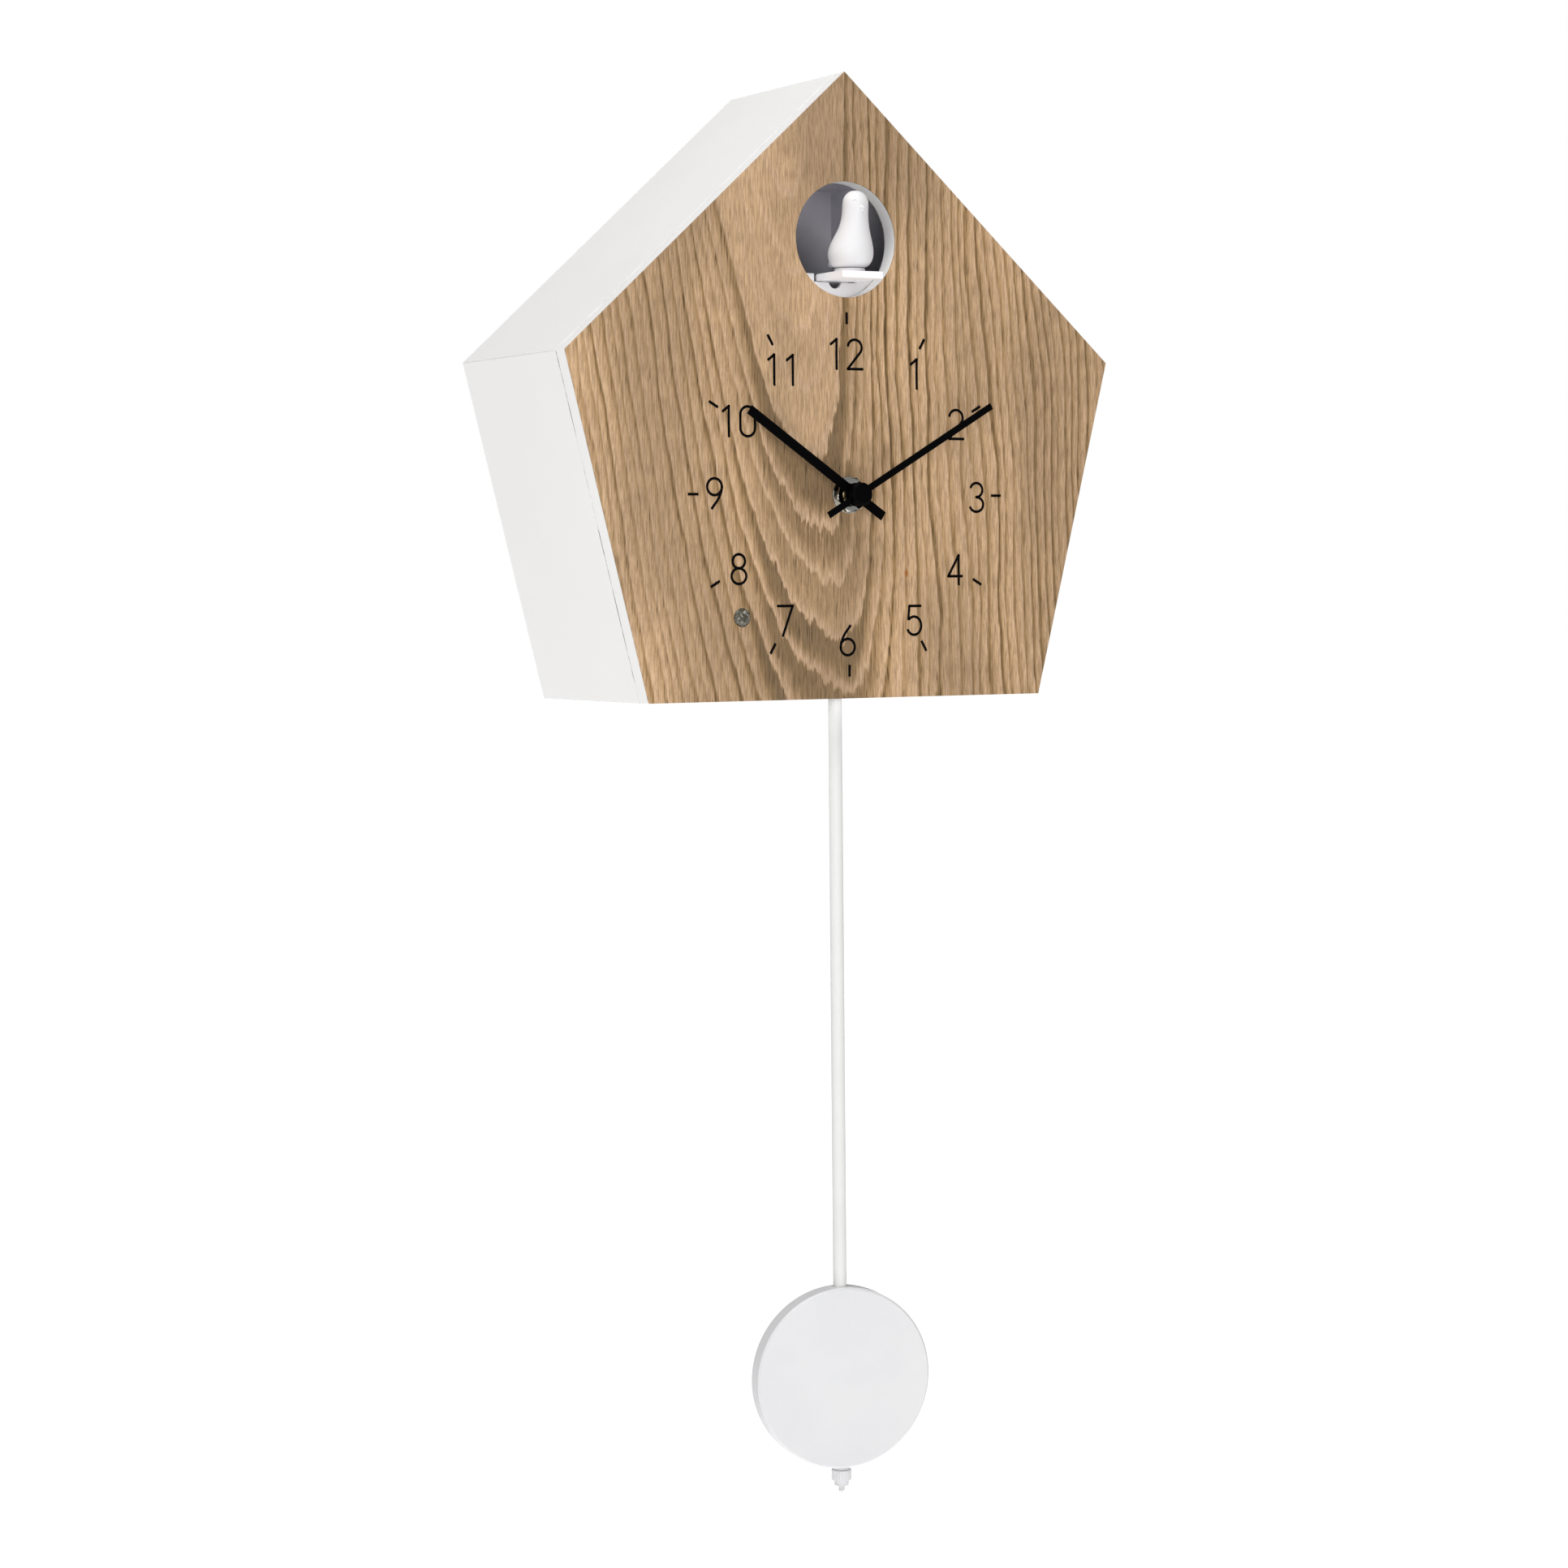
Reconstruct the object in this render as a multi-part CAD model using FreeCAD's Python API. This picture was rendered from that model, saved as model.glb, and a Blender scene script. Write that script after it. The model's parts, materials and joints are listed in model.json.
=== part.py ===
import FreeCAD, Part
import math
import os

# Wall clock with a pendulum and a bird that comes out of a round door.
# Millimetres. X to the clock's right as seen from the front, +Y towards the wall, +Z up.
# The origin is the centre of the hanger's round hole, in the plane of the wall.

Vec = FreeCAD.Vector

# Case
hanger_drop = 42.0        # apex of the case above the hanger's hole
shoulder_half = 120.0     # half width at the shoulders
shoulder_drop = 108.0     # shoulders below the apex
bottom_half = 86.9        # half width at the bottom edge
case_height = 238.9
case_depth = 90.0
panel_thick = 8.0
board_thick = 7.4
veneer_thick = 0.6
shadow_depth = 0.4        # fine gap line between the board and the case
shadow_width = 0.8
back_thick = 3.0
back_gap = 0.3
block_leg = 18.0
block_length = 18.0

# Door of the bird and the dial
door_drop = 63.6
door_radius = 22.0
dial_drop = 160.9
tick_inner = 65.1
tick_outer = 69.6
tick_width = 1.0
ink_thick = 0.15
lens_x = -46.8
lens_drop = 207.3
lens_radius = 3.5

# Hanger plate and the round hole for the wall screw
hanger_width = 30.0
hanger_height = 30.0
hanger_thick = 1.2
hanger_hole = 4.5
hanger_slot = 4.2
hanger_slot_rise = 10.0

# Window at the back and its cover
window_half = 45.0
window_height = 84.0
window_base = 14.0        # above the bottom edge
cover_thick = 1.5
cover_lap = 3.0
cover_gap = 0.3

# Wood screws
screw_radius = 1.5
screw_head = 2.9
screw_cone = 1.6
screw_length = 9.0
screw_gap = 0.05

# Movement
move_half = 28.0
move_wall = 1.8
move_depth = 17.3         # front wall to the rear cover's outer face
bush_radius = 4.0
bush_gap = 0.1
bush_length = 11.8        # from the board's back to the bush's front end
washer_radius = 7.0
washer_thick = 0.8
nut_flats = 12.0
nut_thick = 2.5
shaft_radius = 1.5
tube_radius = 2.65
run_gap = 0.1
arbor_radius = 0.6
pivot_radius = 0.35
pivot_gap = 0.07
wheel_thick = 0.8
level_step = 1.8

# Hands, drawn at ten past ten
minute_length = 69.0
minute_width = 2.6
minute_tail = 16.0
minute_angle = 60.0
hour_length = 56.0
hour_width = 3.7
hour_tail = 14.7
hour_angle = 304.5
hand_thick = 0.6
hand_hub = 4.5
minute_stand = 9.0        # middle of the hand in front of the face
hour_stand = 6.0
cap_height = 2.2

# Bird, its platform and its drive
perch_half = 9.0
perch_length = 19.8
perch_thick = 2.6
perch_drop = 76.5         # top of the platform below the apex
perch_reach = 12.4        # front edge in front of the face
bird_travel = 28.0
bird_height = 30.8
bird_width = 17.4
tongue_half = 5.0
rack_module = 0.8
rack_pinion_teeth = 14
spur_module = 0.5
spur_teeth = 36
motor_teeth = 9
slide_gap = 0.15
tray_half = 26.0
tray_length = 54.0
tray_wall = 1.6
lug_thick = 3.0
rail_outer = 8.0
rail_rise = 1.4
tray_drop = 87.0          # top of the tray's floor below the apex
chamber_wall = 1.2
chamber_depth = 45.0
motor_radius = 7.5
motor_length = 13.0

# Pendulum
pivot_drop = 194.0
rod_setback = 11.2        # rod's axis behind the face
rod_radius = 2.65
rod_bore = 1.6
bob_drop = 504.3
bob_radius = 35.6
bob_thick = 9.0
bob_turned = 10.0         # the disc's face turned about the rod
bob_edge = 0.8
pendulum_length = 550.0   # apex to the tip of the thread
stud_radius = 1.25
rating_radius = 3.95
rating_thick = 4.0
collar_radius = 2.85
collar_thick = 2.2
bush_flange = 3.2
bush_flange_thick = 1.0
pin_radius = 1.0
lever_half = 4.0
lever_thick = 3.0
hook_rise = 13.0          # hook pin above the case's bottom edge
slot_half = 14.0
slot_depth = 11.0

# Power and sound
cell_radius = 7.1
cell_length = 48.5
cell_count = 3
holder_wall = 1.5
holder_half = 28.8
speaker_x = 46.0
speaker_drop = 104.0
speaker_radius = 26.0
switch_x = -58.0
switch_drop = 104.0
switch_travel = 8.0
lead_radius = 0.7

# Places worked out from the sizes above
apex_z = hanger_drop
shoulder_z = apex_z - shoulder_drop
bottom_z = apex_z - case_height
face_y = -case_depth
board_y = face_y + veneer_thick
inner_y = board_y + board_thick
door_z = apex_z - door_drop
dial_z = apex_z - dial_drop
lens_z = apex_z - lens_drop
perch_z = apex_z - perch_drop
tray_z = apex_z - tray_drop
perch_y = face_y - perch_reach
bird_y = perch_y + perch_length / 2
rod_y = face_y + rod_setback
pivot_z = apex_z - pivot_drop
bob_z = apex_z - bob_drop
bob_base = bob_z - bob_radius
tip_z = apex_z - pendulum_length
hook_z = bottom_z + hook_rise
rod_top = hook_z - 5.0
cover_y = inner_y + move_depth
window_z = bottom_z + window_base


def box(x0, x1, y0, y1, z0, z1):
    return Part.makeBox(x1 - x0, y1 - y0, z1 - z0, Vec(x0, y0, z0))


def rod_along(axis, place, radius, start, end):
    """A cylinder along Y or Z; place is (x, z) for Y and (x, y) for Z."""
    if axis == "y":
        return Part.makeCylinder(radius, end - start, Vec(place[0], start, place[1]), Vec(0, 1, 0))
    return Part.makeCylinder(radius, end - start, Vec(place[0], place[1], start), Vec(0, 0, 1))


def tube_along(axis, place, outer, inner, start, end):
    tube = rod_along(axis, place, outer, start, end)
    return tube.cut(rod_along(axis, place, inner, start, end))


def prism_y(points, start, end):
    corners = [Vec(x, start, z) for x, z in points]
    face = Part.Face(Part.makePolygon(corners + corners[:1]))
    return face.extrude(Vec(0, end - start, 0))


def prism_z(points, start, end):
    corners = [Vec(x, y, start) for x, y in points]
    face = Part.Face(Part.makePolygon(corners + corners[:1]))
    return face.extrude(Vec(0, 0, end - start))


def turned(profile, place, axis):
    """Revolve (radius, height) points about an axis through place."""
    corners = [Vec(r, 0, h) for r, h in profile]
    solid = Part.Face(Part.makePolygon(corners + corners[:1])).revolve(Vec(0, 0, 0), Vec(0, 0, 1), 360)
    if axis == "y":
        solid.rotate(Vec(0, 0, 0), Vec(1, 0, 0), -90)
    solid.translate(Vec(*place))
    return solid


def joined(shapes):
    whole = shapes[0]
    for shape in shapes[1:]:
        whole = whole.fuse(shape)
    return whole.removeSplitter()


def save(name, shape):
    shape.exportStep("parts/" + name + ".step")


# The case's five-sided outline

def case_outline(inset):
    """Corners of the case, moved in by inset, from the apex clockwise seen from the front."""
    outer = [(0, apex_z), (shoulder_half, shoulder_z), (bottom_half, bottom_z),
             (-bottom_half, bottom_z), (-shoulder_half, shoulder_z)]
    lines = []
    for k in range(len(outer)):
        ax, az = outer[k]
        bx, bz = outer[(k + 1) % len(outer)]
        length = math.hypot(bx - ax, bz - az)
        nx, nz = (bz - az) / length, -(bx - ax) / length
        lines.append((nx, nz, nx * ax + nz * az + inset))
    corners = []
    for k in range(len(outer)):
        a1, b1, c1 = lines[k - 1]
        a2, b2, c2 = lines[k]
        det = a1 * b2 - a2 * b1
        corners.append(((c1 * b2 - c2 * b1) / det, (a1 * c2 - a2 * c1) / det))
    return corners


def block_triangle(corner):
    """A glue block in one inner corner of the case."""
    inner = case_outline(panel_thick)
    x, z = inner[corner]
    points = [(x, z)]
    for other in (inner[corner - 1], inner[(corner + 1) % len(inner)]):
        length = math.hypot(other[0] - x, other[1] - z)
        points.append((x + (other[0] - x) * block_leg / length, z + (other[1] - z) * block_leg / length))
    return points


def block_screw(corner):
    """A screw sits at the middle of its glue block."""
    points = block_triangle(corner)
    return sum(p[0] for p in points) / 3, sum(p[1] for p in points) / 3


def pendulum_slot(extra):
    return box(-slot_half, slot_half, inner_y - extra, inner_y + slot_depth,
               bottom_z - 1, bottom_z + panel_thick + 1)


def make_case_panels():
    outer = case_outline(0)
    inner = case_outline(panel_thick)
    names = ["roof_panel_right", "side_panel_right", "bottom_panel", "side_panel_left", "roof_panel_left"]
    for k, name in enumerate(names):
        after = (k + 1) % len(names)
        panel = prism_y([outer[k], outer[after], inner[after], inner[k]], inner_y, 0)
        if name == "bottom_panel":
            panel = panel.cut(pendulum_slot(1))
            for place in holder_screws():
                panel = panel.cut(rod_along("z", place, screw_radius + screw_gap, bottom_z + 2, bottom_z + 20))
        save(name, panel)


def cut_front_holes(shape, start, end):
    """The bird's door, the movement's bush and the light sensor pass through the front."""
    holes = [((0, door_z), door_radius), ((0, dial_z), bush_radius + bush_gap),
             ((lens_x, lens_z), lens_radius + screw_gap)]
    for place, radius in holes:
        shape = shape.cut(rod_along("y", place, radius, start, end))
    return shape


def make_front():
    board = prism_y(case_outline(0), board_y, inner_y)
    edge = prism_y(case_outline(0), inner_y - shadow_depth, inner_y)
    board = board.cut(edge.cut(prism_y(case_outline(shadow_width), inner_y - shadow_depth, inner_y)))
    board = cut_front_holes(board, board_y, inner_y)
    for x, y, z in board_screws():
        board = board.cut(rod_along("y", (x, z), screw_radius + screw_gap,
                                    inner_y + lug_thick - screw_length, inner_y))
    save("front_board", board)
    save("front_veneer", cut_front_holes(prism_y(case_outline(0), face_y, board_y), face_y, board_y))


def make_dial_ticks():
    ticks = []
    for hour in range(12):
        tick = box(-tick_width / 2, tick_width / 2, face_y - ink_thick, face_y,
                   dial_z + tick_inner, dial_z + tick_outer)
        tick.rotate(Vec(0, 0, dial_z), Vec(0, 1, 0), hour * 30)
        ticks.append(tick)
    save("dial_ticks", Part.makeCompound(ticks))


# Back of the case

def back_screws():
    """Places (x, z) of the screws that hold the back panel, one per glue block."""
    return [block_screw(corner) for corner in range(5)]


def hanger_screws():
    half = hanger_width / 2 - 4.0
    base = -hanger_height / 2 + 4.0
    return [(-half, base), (half, base)]


def speaker_screws():
    z = apex_z - speaker_drop
    reach = speaker_radius + 1.5
    return [(speaker_x + reach * math.cos(a), z + reach * math.sin(a))
            for a in (math.radians(45), math.radians(225))]


def countersunk(x, z, head_y):
    """A wood screw whose flat head is at head_y and whose point is towards the front."""
    profile = [(0, 0), (screw_head, 0), (screw_radius, screw_cone), (screw_radius, screw_length - 2),
               (0, screw_length)]
    screw = turned(profile, (0, 0, 0), "z")
    screw.rotate(Vec(0, 0, 0), Vec(1, 0, 0), 90)
    screw.translate(Vec(x, head_y, z))
    return screw


def screw_hole(x, z, head_y):
    hole = turned([(0, 0), (screw_head + screw_gap, 0), (screw_radius + screw_gap, screw_cone),
                   (screw_radius + screw_gap, screw_length + 1), (0, screw_length + 1)], (0, 0, 0), "z")
    hole.rotate(Vec(0, 0, 0), Vec(1, 0, 0), 90)
    hole.translate(Vec(x, head_y, z))
    return hole


def board_screws():
    """Screws from behind into the front board: (x, head y, z)."""
    lug_y = inner_y + lug_thick
    lug_x = tray_half + 5.0
    legs_x = 20.0
    tray_screw_z = tray_z + 6.0
    return [(-lug_x, lug_y, tray_screw_z), (lug_x, lug_y, tray_screw_z),
            (-legs_x, lug_y, pivot_z - 16.0), (legs_x, lug_y, pivot_z - 16.0)]


def holder_screws():
    """Places (x, y) of the screws that hold the battery holder to the bottom panel."""
    return [(-holder_half + 8.0, holder_front() + 5.0), (holder_half - 8.0, holder_front() + 5.0)]


def holder_front():
    return -back_thick - 8.0 - 2 * (cell_radius + holder_wall) - 2.0


def make_back_panel():
    panel = prism_y(case_outline(panel_thick + back_gap), -back_thick, 0)
    panel = panel.cut(box(-window_half, window_half, -back_thick, 0, window_z, window_z + window_height))
    lap = cover_lap
    rebate = cover_thick + cover_gap
    panel = panel.cut(box(-window_half - lap, window_half + lap, -rebate, 0,
                          window_z - lap, window_z + window_height + lap))
    panel = panel.cut(box(-hanger_width / 2, hanger_width / 2, -hanger_thick, 0,
                          -hanger_height / 2, hanger_height / 2))
    panel = panel.cut(box(-7.0, 7.0, -back_thick, 0, -6.5, hanger_slot_rise + 3.5))
    for x, z in back_screws():
        panel = panel.cut(screw_hole(x, z, 0))
    for x, z in hanger_screws() + speaker_screws():
        panel = panel.cut(screw_hole(x, z, 0))
    for x, z in grille_holes():
        panel = panel.cut(rod_along("y", (x, z), 1.6, -back_thick, 0))
    slot_z = apex_z - switch_drop
    panel = panel.cut(box(switch_x - 2.5, switch_x + switch_travel + 2.5, -back_thick, 0,
                          slot_z - 2.2, slot_z + 2.2))
    save("back_panel", panel)


def grille_holes():
    """Sound holes over the speaker: one in the middle and two rings."""
    z = apex_z - speaker_drop
    places = [(speaker_x, z)]
    for ring, count in ((7.0, 6), (14.0, 12)):
        for k in range(count):
            a = 2 * math.pi * k / count
            places.append((speaker_x + ring * math.cos(a), z + ring * math.sin(a)))
    return places


def make_glue_blocks():
    blocks = []
    for corner in range(5):
        block = prism_y(block_triangle(corner), -back_thick - block_length, -back_thick)
        x, z = block_screw(corner)
        blocks.append(block.cut(screw_hole(x, z, 0)))
    backing = box(-hanger_width / 2, hanger_width / 2, -back_thick - 9.0, -back_thick,
                  -hanger_height / 2, -7.5)
    for x, z in hanger_screws():
        backing = backing.cut(screw_hole(x, z, 0))
    save("wood_blocks", Part.makeCompound(blocks + [backing]))


def make_hanger():
    plate = box(-hanger_width / 2 + 0.2, hanger_width / 2 - 0.2, -hanger_thick, 0,
                -hanger_height / 2 + 0.2, hanger_height / 2 - 0.2)
    plate = plate.cut(rod_along("y", (0, 0), hanger_hole, -hanger_thick, 0))
    plate = plate.cut(box(-hanger_slot / 2, hanger_slot / 2, -hanger_thick, 0, 0, hanger_slot_rise))
    plate = plate.cut(rod_along("y", (0, hanger_slot_rise), hanger_slot / 2, -hanger_thick, 0))
    for x, z in hanger_screws():
        plate = plate.cut(screw_hole(x, z, 0))
    save("hanger_plate", plate)


def make_access_cover():
    lap = cover_lap - cover_gap
    top = window_z + window_height
    plate = box(-window_half - lap, window_half + lap, -cover_thick, 0, window_z - lap, top + lap)
    plate = plate.cut(box(-9.0, 9.0, -0.8, 0, top - 8.0, top - 4.0))
    clips = [plate]
    for x in (-30.0, 30.0):
        clips.append(box(x - 5.0, x + 5.0, -cover_thick - 5.0, -cover_thick,
                         top - cover_gap - 1.4, top - cover_gap))
    save("access_cover", joined(clips))


def make_wood_screws():
    screws = [countersunk(x, z, 0) for x, z in back_screws() + hanger_screws() + speaker_screws()]
    for x, head_y, z in board_screws():
        screws.append(countersunk(x, z, head_y))
    save("wood_screws", Part.makeCompound(screws))


# Gears: slender trapezoid teeth with room at the flanks

def gear_angle(first_angle, first_teeth, teeth, towards):
    """Angle of a tooth on a gear that meshes with another one lying in the direction towards."""
    return towards + math.pi - (first_teeth * (first_angle - towards) + math.pi) / teeth


def tooth_ring(teeth, module, angle):
    """Points of a toothed outline about (0, 0)."""
    pitch = 2 * math.pi / teeth
    root = teeth * module / 2 - 1.15 * module
    tip = teeth * module / 2 + 0.75 * module
    points = []
    for k in range(teeth):
        middle = angle + k * pitch
        for radius, share in ((root, -0.22), (tip, -0.1), (tip, 0.1), (root, 0.22)):
            a = middle + share * pitch
            points.append((radius * math.cos(a), radius * math.sin(a)))
    return points


def gear_y(place, teeth, module, angle, start, end):
    x, z = place
    return prism_y([(x + px, z + pz) for px, pz in tooth_ring(teeth, module, angle)], start, end)


def gear_z(place, teeth, module, angle, start, end):
    x, y = place
    return prism_z([(x + px, y + py) for px, py in tooth_ring(teeth, module, angle)], start, end)


def beside(place, distance, direction):
    a = math.radians(direction)
    return place[0] + distance * math.cos(a), place[1] + distance * math.sin(a)


def centres(first, second, module):
    return (first + second) * module / 2


# Going train: (teeth, module) of each wheel and of the pinion it drives
cannon_teeth = 12
minute_wheel_teeth = 36
motion_module = 0.4
minute_pinion_teeth = 10
hour_wheel_teeth = 40
hour_module = 0.384
centre_teeth = 60
centre_module = 0.4
third_pinion = 8
third_teeth = 64
third_module = 0.35
fourth_pinion = 8
fourth_teeth = 60
fourth_module = 0.3
fifth_pinion = 10
fifth_teeth = 40
fifth_module = 0.25
rotor_pinion = 8
rotor_radius = 1.5

centre_at = (0.0, dial_z)
minute_at = beside(centre_at, centres(cannon_teeth, minute_wheel_teeth, motion_module), 230)
setting_at = beside(minute_at, centres(cannon_teeth, minute_wheel_teeth, motion_module), 230)
third_at = beside(centre_at, centres(centre_teeth, third_pinion, centre_module), 20)
fourth_at = beside(third_at, centres(third_teeth, fourth_pinion, third_module), 135)
fifth_at = beside(fourth_at, centres(fourth_teeth, fifth_pinion, fourth_module), 175)
rotor_at = beside(fifth_at, centres(fifth_teeth, rotor_pinion, fifth_module), 200)

wall_y = inner_y + move_wall
lid_y = cover_y - move_wall


def level(k):
    """Front face of the wheel on level k, counted from the front wall."""
    return wall_y + 0.7 + k * level_step


def make_housing():
    half = move_half
    x0, x1, z0, z1 = -half, half, dial_z - half, dial_z + half
    shell = box(x0, x1, inner_y, lid_y, z0, z1)
    shell = shell.cut(box(x0 + move_wall, x1 - move_wall, wall_y, lid_y, z0 + move_wall, z1 - move_wall))
    shell = shell.cut(rod_along("y", centre_at, bush_radius, inner_y, wall_y))
    shell = shell.cut(rod_along("y", centre_at, bush_radius + 2.0, inner_y + 0.6, wall_y))
    for place in (third_at, fourth_at, fifth_at, rotor_at, setting_at):
        shell = shell.cut(rod_along("y", place, pivot_radius + pivot_gap, inner_y + 0.5, wall_y))
    post = rod_along("y", minute_at, arbor_radius, wall_y, level(1) + wheel_thick + 0.9)
    save("movement_housing", joined([shell, post]))


def make_lid():
    half = move_half
    lid = box(-half, half, lid_y, cover_y, dial_z - half, dial_z + half)
    for place in (third_at, fourth_at, fifth_at, rotor_at):
        lid = lid.cut(rod_along("y", place, pivot_radius + pivot_gap, lid_y, cover_y - 0.5))
    lid = lid.cut(rod_along("y", centre_at, 0.8 + pivot_gap, lid_y, cover_y - 0.5))
    lid = lid.cut(rod_along("y", setting_at, shaft_radius + run_gap, lid_y, cover_y))
    save("movement_lid", lid)


def make_bush():
    front = inner_y - bush_length
    bush = joined([rod_along("y", centre_at, bush_radius, front, inner_y + 0.6),
                   rod_along("y", centre_at, bush_radius + 2.0, inner_y + 0.6, wall_y)])
    save("threaded_bush", bush.cut(rod_along("y", centre_at, tube_radius + run_gap, front, wall_y)))


def make_dial_nut():
    washer_y = face_y - washer_thick
    save("dial_washer", tube_along("y", centre_at, washer_radius, bush_radius + 0.05, washer_y, face_y))
    corner = nut_flats / 2 / math.cos(math.pi / 6)
    points = [beside(centre_at, corner, 60 * k + 12) for k in range(6)]
    nut = prism_y(points, washer_y - nut_thick, washer_y)
    chamfered = [(0, 0), (corner - 0.7, 0), (corner + 0.4, 0.8), (corner + 0.4, nut_thick), (0, nut_thick)]
    round_off = turned(chamfered, (0, washer_y - nut_thick, dial_z), "y")
    nut = nut.common(round_off)
    nut = nut.cut(rod_along("y", centre_at, bush_radius + 0.02, washer_y - nut_thick, washer_y))
    save("dial_nut", nut)


def wheel(place, teeth, module, angle, start, rim=True):
    """A thin toothed wheel with round lightening holes."""
    disc = gear_y(place, teeth, module, angle, start, start + wheel_thick)
    radius = teeth * module / 2
    if rim and radius > 8:
        for k in range(5):
            hole = beside(place, radius * 0.58, 72 * k + 20)
            disc = disc.cut(rod_along("y", hole, radius * 0.22, start, start + wheel_thick))
    return disc


def arbor(place, start, end):
    """A plain shaft between the plates with a thin pivot at each end."""
    return [rod_along("y", place, arbor_radius, wall_y + 0.15, lid_y - 0.15),
            rod_along("y", place, pivot_radius, start, end)]


centre_angle = math.radians(7)
cannon_angle = math.radians(11)
minute_wheel_angle = gear_angle(cannon_angle, cannon_teeth, minute_wheel_teeth, math.radians(230))
setting_angle = gear_angle(minute_wheel_angle, minute_wheel_teeth, cannon_teeth, math.radians(230))
hour_wheel_angle = gear_angle(0, minute_pinion_teeth, hour_wheel_teeth, math.radians(50))
third_pinion_angle = gear_angle(centre_angle, centre_teeth, third_pinion, math.radians(20))
fourth_pinion_angle = gear_angle(0, third_teeth, fourth_pinion, math.radians(135))
fifth_pinion_angle = gear_angle(0, fourth_teeth, fifth_pinion, math.radians(175))
rotor_pinion_angle = gear_angle(0, fifth_teeth, rotor_pinion, math.radians(200))


def make_motion_work():
    tooth_gap = 0.1
    parts = [wheel(centre_at, hour_wheel_teeth, hour_module, hour_wheel_angle, level(0), False),
             rod_along("y", centre_at, tube_radius, face_y - 4.6, level(0) + 0.1),
             rod_along("y", centre_at, tube_radius - 0.45, face_y - hour_stand - 0.6, face_y - 4.6)]
    tube = joined(parts)
    save("hour_wheel", tube.cut(rod_along("y", centre_at, shaft_radius + run_gap,
                                          face_y - 8.0, level(0) + wheel_thick)))
    parts = [wheel(minute_at, minute_wheel_teeth, motion_module, minute_wheel_angle, level(1), False),
             gear_y(minute_at, minute_pinion_teeth, hour_module, 0, level(0) - tooth_gap, level(1))]
    save("minute_wheel", joined(parts).cut(rod_along("y", minute_at, arbor_radius + run_gap,
                                                     wall_y, level(1) + wheel_thick)))
    parts = [gear_y(setting_at, cannon_teeth, motion_module, setting_angle,
                    level(1) - tooth_gap, level(1) + wheel_thick + tooth_gap),
             rod_along("y", setting_at, pivot_radius, inner_y + 0.7, wall_y + 0.2),
             rod_along("y", setting_at, shaft_radius, wall_y + 0.2, cover_y + 0.6),
             rod_along("y", setting_at, 5.0, cover_y + 0.6, cover_y + 5.0)]
    knob = joined(parts)
    for k in range(12):
        notch = beside(setting_at, 5.3, 30 * k)
        knob = knob.cut(rod_along("y", notch, 0.6, cover_y + 0.6, cover_y + 5.0))
    save("setting_knob", knob)


def make_centre_wheel():
    parts = [rod_along("y", centre_at, shaft_radius, face_y - minute_stand + 0.9, lid_y - 3.5),
             rod_along("y", centre_at, 1.0, face_y - minute_stand - 1.6, face_y - minute_stand + 0.9),
             rod_along("y", centre_at, 0.8, lid_y - 3.5, cover_y - 0.7),
             gear_y(centre_at, cannon_teeth, motion_module, cannon_angle,
                    level(1) - 0.1, level(1) + wheel_thick + 0.1),
             wheel(centre_at, centre_teeth, centre_module, centre_angle, level(2))]
    save("centre_wheel", joined(parts))


def make_train():
    ends = (inner_y + 0.7, cover_y - 0.7)
    rows = [("third_wheel", third_at, third_teeth, third_module, 3,
             third_pinion, centre_module, third_pinion_angle),
            ("fourth_wheel", fourth_at, fourth_teeth, fourth_module, 4,
             fourth_pinion, third_module, fourth_pinion_angle),
            ("fifth_wheel", fifth_at, fifth_teeth, fifth_module, 5,
             fifth_pinion, fourth_module, fifth_pinion_angle)]
    for name, place, teeth, module, row, leaf_count, leaf_module, leaf_angle in rows:
        pinion = gear_y(place, leaf_count, leaf_module, leaf_angle,
                        level(row - 1) - 0.1, level(row - 1) + wheel_thick + 0.1)
        save(name, joined(arbor(place, *ends) + [pinion, wheel(place, teeth, module, 0, level(row))]))
    pinion = gear_y(rotor_at, rotor_pinion, fifth_module, rotor_pinion_angle,
                    level(5) - 0.1, level(5) + wheel_thick + 0.1)
    magnet = rod_along("y", rotor_at, rotor_radius, level(6) - 0.2, level(6) + wheel_thick + 0.2)
    save("rotor", joined(arbor(rotor_at, *ends) + [pinion, magnet]))


def make_stepper():
    x, z = rotor_at
    start = level(6)
    end = start + wheel_thick
    left = x - 11.5
    plate = joined([box(left, x + 3.8, start, end, z - 4.5, z + 4.5),
                    box(left, left + 2.4, start, end, z - 30.0, z - 4.5),
                    box(left, x - 3.4, start, end, z - 32.4, z - 30.0)])
    save("stator", plate.cut(rod_along("y", rotor_at, rotor_radius + 0.6, start, end)))
    coil = box(left - 0.9, left + 3.3, start - 1.4, end + 1.2, z - 27.0, z - 7.0)
    save("stepper_coil", coil.cut(box(left - 0.05, left + 2.45, start - 0.05, end + 0.05, z - 27.0, z - 7.0)))


def make_circuit_board():
    end = lid_y - 0.1
    board = box(4.0, 24.0, end - 1.0, end, dial_z - 25.0, dial_z - 4.0)
    chip = rod_along("y", (12.0, dial_z - 14.0), 3.5, end - 2.2, end - 1.0)
    crystal = box(17.0, 19.6, end - 3.2, end - 1.0, dial_z - 22.0, dial_z - 15.0)
    save("circuit_board", joined([board, chip, crystal]))


# Hands

def hand_shape(length, width, tail, angle, stand):
    """A flat bar with a round hub, turned clockwise from twelve."""
    start = face_y - stand - hand_thick / 2
    bar = box(-width / 2, width / 2, start, start + hand_thick, dial_z - tail, dial_z + length)
    hub = rod_along("y", centre_at, hand_hub, start, start + hand_thick)
    hand = joined([bar, hub])
    hand.rotate(Vec(0, 0, dial_z), Vec(0, 1, 0), angle)
    return hand


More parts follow.
